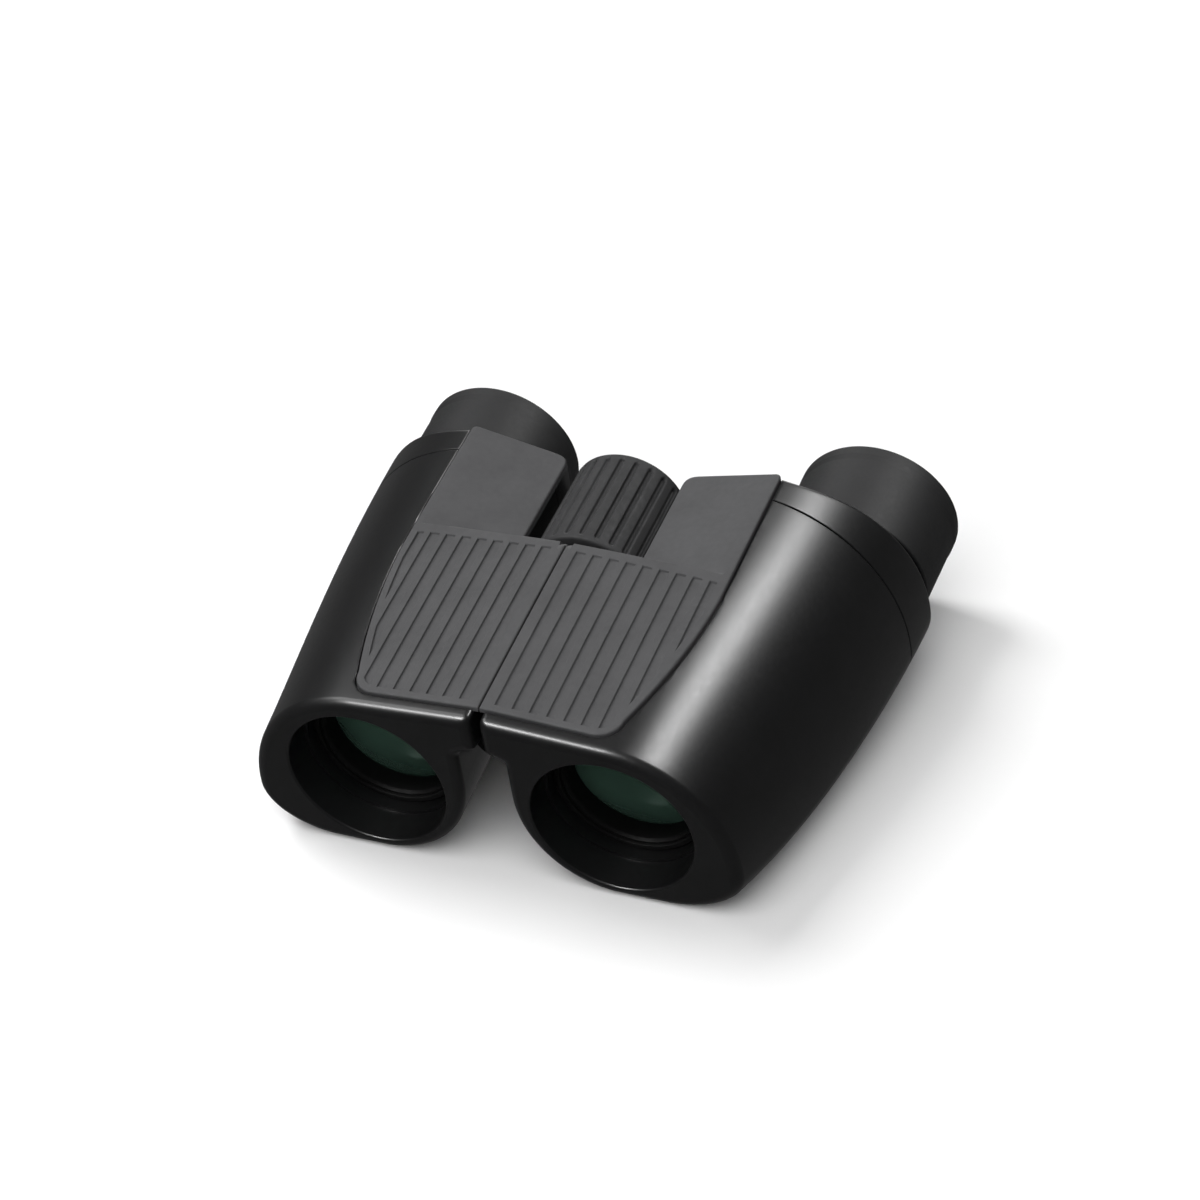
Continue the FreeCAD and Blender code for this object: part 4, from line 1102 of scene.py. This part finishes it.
def body_paint():
    """Satin black paint with a very fine orange peel."""
    base = (0.0045, 0.0045, 0.0048)
    surface = material("body_paint", base, 0.34, Specular_IOR_Level=0.3)
    tint(surface, noise(surface, 90.0), shade(base, 0.85), shade(base, 1.2))
    rough(surface, noise(surface, 1400.0, 4.0), 0.32, 0.36)
    bump(surface, noise(surface, 3000.0, 2.0), 0.000008, 0.3)
    return surface.made


def grip_rubber():
    """Dark grey moulded rubber with a fine grain."""
    base = (0.056, 0.056, 0.058)
    surface = material("grip_rubber", base, 0.72, Specular_IOR_Level=0.2)
    tint(surface, noise(surface, 140.0, 6.0), shade(base, 0.9), shade(base, 1.1))
    rough(surface, noise(surface, 900.0, 4.0), 0.64, 0.8)
    bump(surface, noise(surface, 5200.0, 3.0), 0.00002, 0.6)
    return surface.made


def eyecup_rubber():
    """Soft matte black rubber."""
    base = (0.0085, 0.0085, 0.009)
    surface = material("eyecup_rubber", base, 0.6, Specular_IOR_Level=0.22)
    tint(surface, noise(surface, 120.0, 5.0), shade(base, 0.8), shade(base, 1.25))
    rough(surface, noise(surface, 1600.0, 3.0), 0.57, 0.63)
    bump(surface, noise(surface, 6000.0, 2.0), 0.000006, 0.4)
    return surface.made


def wheel_rubber():
    """Matte rubber of the focus wheel, a little greyer where fingers rub it."""
    base = (0.022, 0.022, 0.023)
    surface = material("wheel_rubber", base, 0.68, Specular_IOR_Level=0.18)
    tint(surface, noise(surface, 180.0, 6.0), shade(base, 0.85), shade(base, 1.25))
    rough(surface, noise(surface, 800.0, 4.0), 0.6, 0.75)
    bump(surface, noise(surface, 4800.0, 3.0), 0.000018, 0.55)
    return surface.made


def black_alloy():
    """Black anodised aluminium with turning marks along its axis."""
    base = (0.03, 0.03, 0.032)
    surface = material("black_alloy", base, 0.4, Metallic=0.75)
    tint(surface, noise(surface, 150.0), shade(base, 0.85), shade(base, 1.2))
    rough(surface, noise(surface, 400.0, 3.0, (1.0, 14.0, 1.0)), 0.34, 0.5)
    bump(surface, noise(surface, 500.0, 2.0, (1.0, 16.0, 1.0)), 0.000006, 0.4)
    return surface.made


def black_moulding():
    """Matte black moulded plastic."""
    base = (0.0035, 0.0035, 0.0035)
    surface = material("black_moulding", base, 0.62, Specular_IOR_Level=0.15)
    tint(surface, noise(surface, 150.0, 5.0), shade(base, 0.8), shade(base, 1.25))
    rough(surface, noise(surface, 900.0, 4.0), 0.54, 0.68)
    bump(surface, noise(surface, 5000.0, 2.0), 0.00001, 0.5)
    return surface.made


def lens_with_painted_reflection(name, base, tinge):
    """Coated glass seen from outside: a dark, clean surface whose reflections take the coating's
    tint. Its base colour is a painted reflection: the coating's colour laid on as plain colour, so
    the lens shows it however little light reaches it.
    """
    surface = material(name, base, 0.12, IOR=1.55)
    surface.shader.inputs["Specular Tint"].default_value = (*tinge, 1.0)
    tint(surface, noise(surface, 60.0, 1.0), shade(base, 0.75), shade(base, 1.25))
    rough(surface, noise(surface, 120.0, 2.0), 0.1, 0.16)
    return surface.made


def prism_glass():
    """Polished clear glass."""
    surface = material("prism_glass", (0.9, 0.95, 0.95), 0.02, IOR=1.57, Transmission_Weight=0.95)
    tint(surface, noise(surface, 60.0), (0.86, 0.92, 0.92), (0.94, 0.97, 0.97))
    rough(surface, noise(surface, 400.0, 4.0), 0.01, 0.04)
    return surface.made


def worked_metal(name, base, roughness):
    """Metal turned or ground along the optical direction."""
    surface = material(name, base, roughness, Metallic=1.0)
    tint(surface, noise(surface, 220.0, 4.0), shade(base, 0.88), shade(base, 1.08))
    marks = noise(surface, 700.0, 3.0, (1.0, 12.0, 1.0))
    rough(surface, marks, roughness * 0.8, roughness * 1.3)
    bump(surface, marks, 0.000008, 0.4)
    return surface.made


def washer_plastic():
    """Natural nylon."""
    base = (0.72, 0.7, 0.64)
    surface = material("washer_plastic", base, 0.5, Subsurface_Weight=0.1)
    surface.shader.inputs["Subsurface Radius"].default_value = (0.001, 0.001, 0.001)
    tint(surface, noise(surface, 200.0), shade(base, 0.93), shade(base, 1.04))
    rough(surface, noise(surface, 900.0), 0.45, 0.6)
    return surface.made


FINISHES = {
    "body_paint": body_paint(),
    "grip_rubber": grip_rubber(),
    "eyecup_rubber": eyecup_rubber(),
    "wheel_rubber": wheel_rubber(),
    "black_alloy": black_alloy(),
    "black_moulding": black_moulding(),
    # The objective's dark green base is a painted reflection of its coating, made light enough to
    # show in the shade of the bore.
    "green_coated_glass": lens_with_painted_reflection("green_coated_glass", (0.026, 0.05, 0.038),
                                      (0.55, 1.0, 0.75)),
    "coated_glass": lens_with_painted_reflection("coated_glass", (0.012, 0.014, 0.03), (0.6, 0.6, 1.0)),
    "prism_glass": prism_glass(),
    "steel": worked_metal("steel", (0.56, 0.56, 0.57), 0.32),
    "black_screws": worked_metal("black_screws", (0.03, 0.03, 0.03), 0.42),
    "brass": worked_metal("brass", (0.72, 0.54, 0.26), 0.3),
    "washer_plastic": washer_plastic(),
}

# ---------------------------------------------------------------- the whole object

SLOT_OF = {part["node"]: part["material_slot"] for part in frame["record"]["subparts"]}
BODY_OF = {node: body for body, nodes in frame["record"]["behaviour"]["bodies"].items()
           for node in nodes}


def finished(thing, node):
    """Settles a piece that stands for one CAD node, on that node's body, in its finish."""
    return settle(thing, node + "_look", BODY_OF[node], FINISHES[SLOT_OF[node]],
                  SLOT_OF[node], node)


for side in ("right", "left"):
    shell = barrel_shell(side)
    if side == "left":
        shell.data.transform(MIRROR)
        shell.data.flip_normals()
    finished(shell, side + "_barrel_shell")

PAIRED = {
    "rear_cover": rear_cover,
    "grip_panel": grip_panel,
    "eyecup": eyecup,
    "eyepiece_tube": eyepiece_tube,
    "objective_cell": objective_cell,
    "objective_ring": objective_ring,
    "objective_lens": lambda: lens(
        "objective", radius=11.8, front_curve=46.0, back_curve=120.0, thickness=5.3,
        centre=OBJECTIVE, pole=-33.37),
    "eye_lens": lambda: lens(
        "eye", radius=9.0, front_curve=18.0, back_curve=30.0, thickness=5.8,
        centre=EYEPIECE, pole=32.4),
}
for node, build in PAIRED.items():
    right = build()
    left = mirrored(right)
    finished(right, "right_" + node)
    finished(left, "left_" + node)

collar = eyepiece_collar()
ring = mirrored(collar)
finished(collar, "right_eyepiece_collar")
finished(ring, "diopter_ring")
finished(wheel_sleeve(), "focus_wheel_sleeve")
finished(hinge_cap(), "hinge_front_cap")

for name, node in frame["nodes"].items():
    if not node.hide_render:
        node.data.materials.clear()
        node.data.materials.append(FINISHES[SLOT_OF[name]])

# ---------------------------------------------------------------- floor, light, camera


def pale_floor():
    """A plain, pale, matt floor."""
    half = 3.0
    corners = [(-half, -half, 0.0), (half, -half, 0.0), (half, half, 0.0), (-half, half, 0.0)]
    floor = mesh_object("floor", corners, [[0, 1, 2, 3]])
    surface = material("floor", (0.9, 0.9, 0.9), 0.9, Specular_IOR_Level=0.1)
    tint(surface, noise(surface, 3.0), (0.895, 0.895, 0.895), (0.905, 0.905, 0.905))
    floor.data.materials.append(surface.made)
    floor.visible_glossy = False


def softbox(name, direction, distance, size, power, lights=True, shines=True):
    """A rectangular light that looks at the object from a direction. It lights surfaces,
    shines in glossy ones, or both."""
    light = bpy.data.lights.new(name, "AREA")
    light.shape = "RECTANGLE"
    light.size, light.size_y = size
    light.energy = power
    lamp = bpy.data.objects.new(name, light)
    bpy.context.scene.collection.objects.link(lamp)
    towards = Vector(direction).normalized()
    lamp.location = Vector((0.0, 0.0, 0.02)) + towards * distance
    lamp.rotation_euler = towards.to_track_quat("Z", "Y").to_euler()
    lamp.visible_diffuse = lights
    lamp.visible_glossy = shines


def photo_camera():
    """The camera, from its direction, roll, aim and distance in the optical frame."""
    azimuth = math.radians(27.126)
    elevation = math.radians(42.079)
    roll = math.radians(-8.979)
    aim_right = -0.008
    aim_up = 13.719
    distance = 567.5
    back = Vector((math.sin(azimuth) * math.cos(elevation),
                   -math.cos(azimuth) * math.cos(elevation), math.sin(elevation)))
    level = Vector((math.cos(azimuth), math.sin(azimuth), 0.0))
    upright = back.cross(level)
    right = level * math.cos(roll) + upright * math.sin(roll)
    up = upright * math.cos(roll) - level * math.sin(roll)
    centre = right * aim_right + up * aim_up + back * distance
    turn = TO_ROW.to_3x3().normalized()
    axes = Matrix((turn @ right, turn @ up, turn @ back)).transposed()
    camera = bpy.data.cameras.new("camera")
    camera.sensor_width = 36.0
    camera.lens = 101.13
    camera.clip_start = 0.01
    holder = bpy.data.objects.new("camera", camera)
    holder.matrix_world = Matrix.Translation(TO_ROW @ centre) @ axes.to_4x4()
    bpy.context.scene.collection.objects.link(holder)
    bpy.context.scene.camera = holder


def studio():
    """A dim room with softboxes, and plain colours from scene to picture."""
    world = bpy.data.worlds.new("room")
    world.use_nodes = True
    nodes = world.node_tree.nodes
    links = world.node_tree.links
    direction = nodes.new("ShaderNodeTexCoord")
    parts = nodes.new("ShaderNodeSeparateXYZ")
    level = nodes.new("ShaderNodeMapRange")
    level.inputs["From Min"].default_value = -0.1
    level.inputs["From Max"].default_value = 0.05
    level.inputs["To Min"].default_value = 0.15
    level.inputs["To Max"].default_value = 0.09
    links.new(direction.outputs["Generated"], parts.inputs["Vector"])
    links.new(parts.outputs["Z"], level.inputs["Value"])
    links.new(level.outputs["Result"], nodes["Background"].inputs["Strength"])
    nodes["Background"].inputs["Color"].default_value = (1.0, 1.0, 1.0, 1.0)
    bpy.context.scene.world = world
    bpy.context.scene.view_settings.view_transform = "Standard"
    softbox("streak", (0.4, 0.45, 0.78), 1.0, (0.2, 0.3), 11.0, lights=False)
    softbox("edge", (-0.34, -0.45, 0.8), 1.0, (0.25, 0.12), 20.0, lights=False)
    softbox("key", (-0.8, 0.15, 1.1), 1.3, (0.6, 0.6), 11.0)
    softbox("overhead", (0.1, -0.7, 1.0), 1.6, (1.8, 1.4), 20.0, shines=False)
    softbox("back", (-0.3, 1.0, 0.3), 1.3, (0.8, 0.4), 6.0)
    softbox("near_front", (0.05, -0.75, 0.9), 0.4, (0.3, 0.3), 0.3, shines=False)


pale_floor()
studio()
photo_camera()
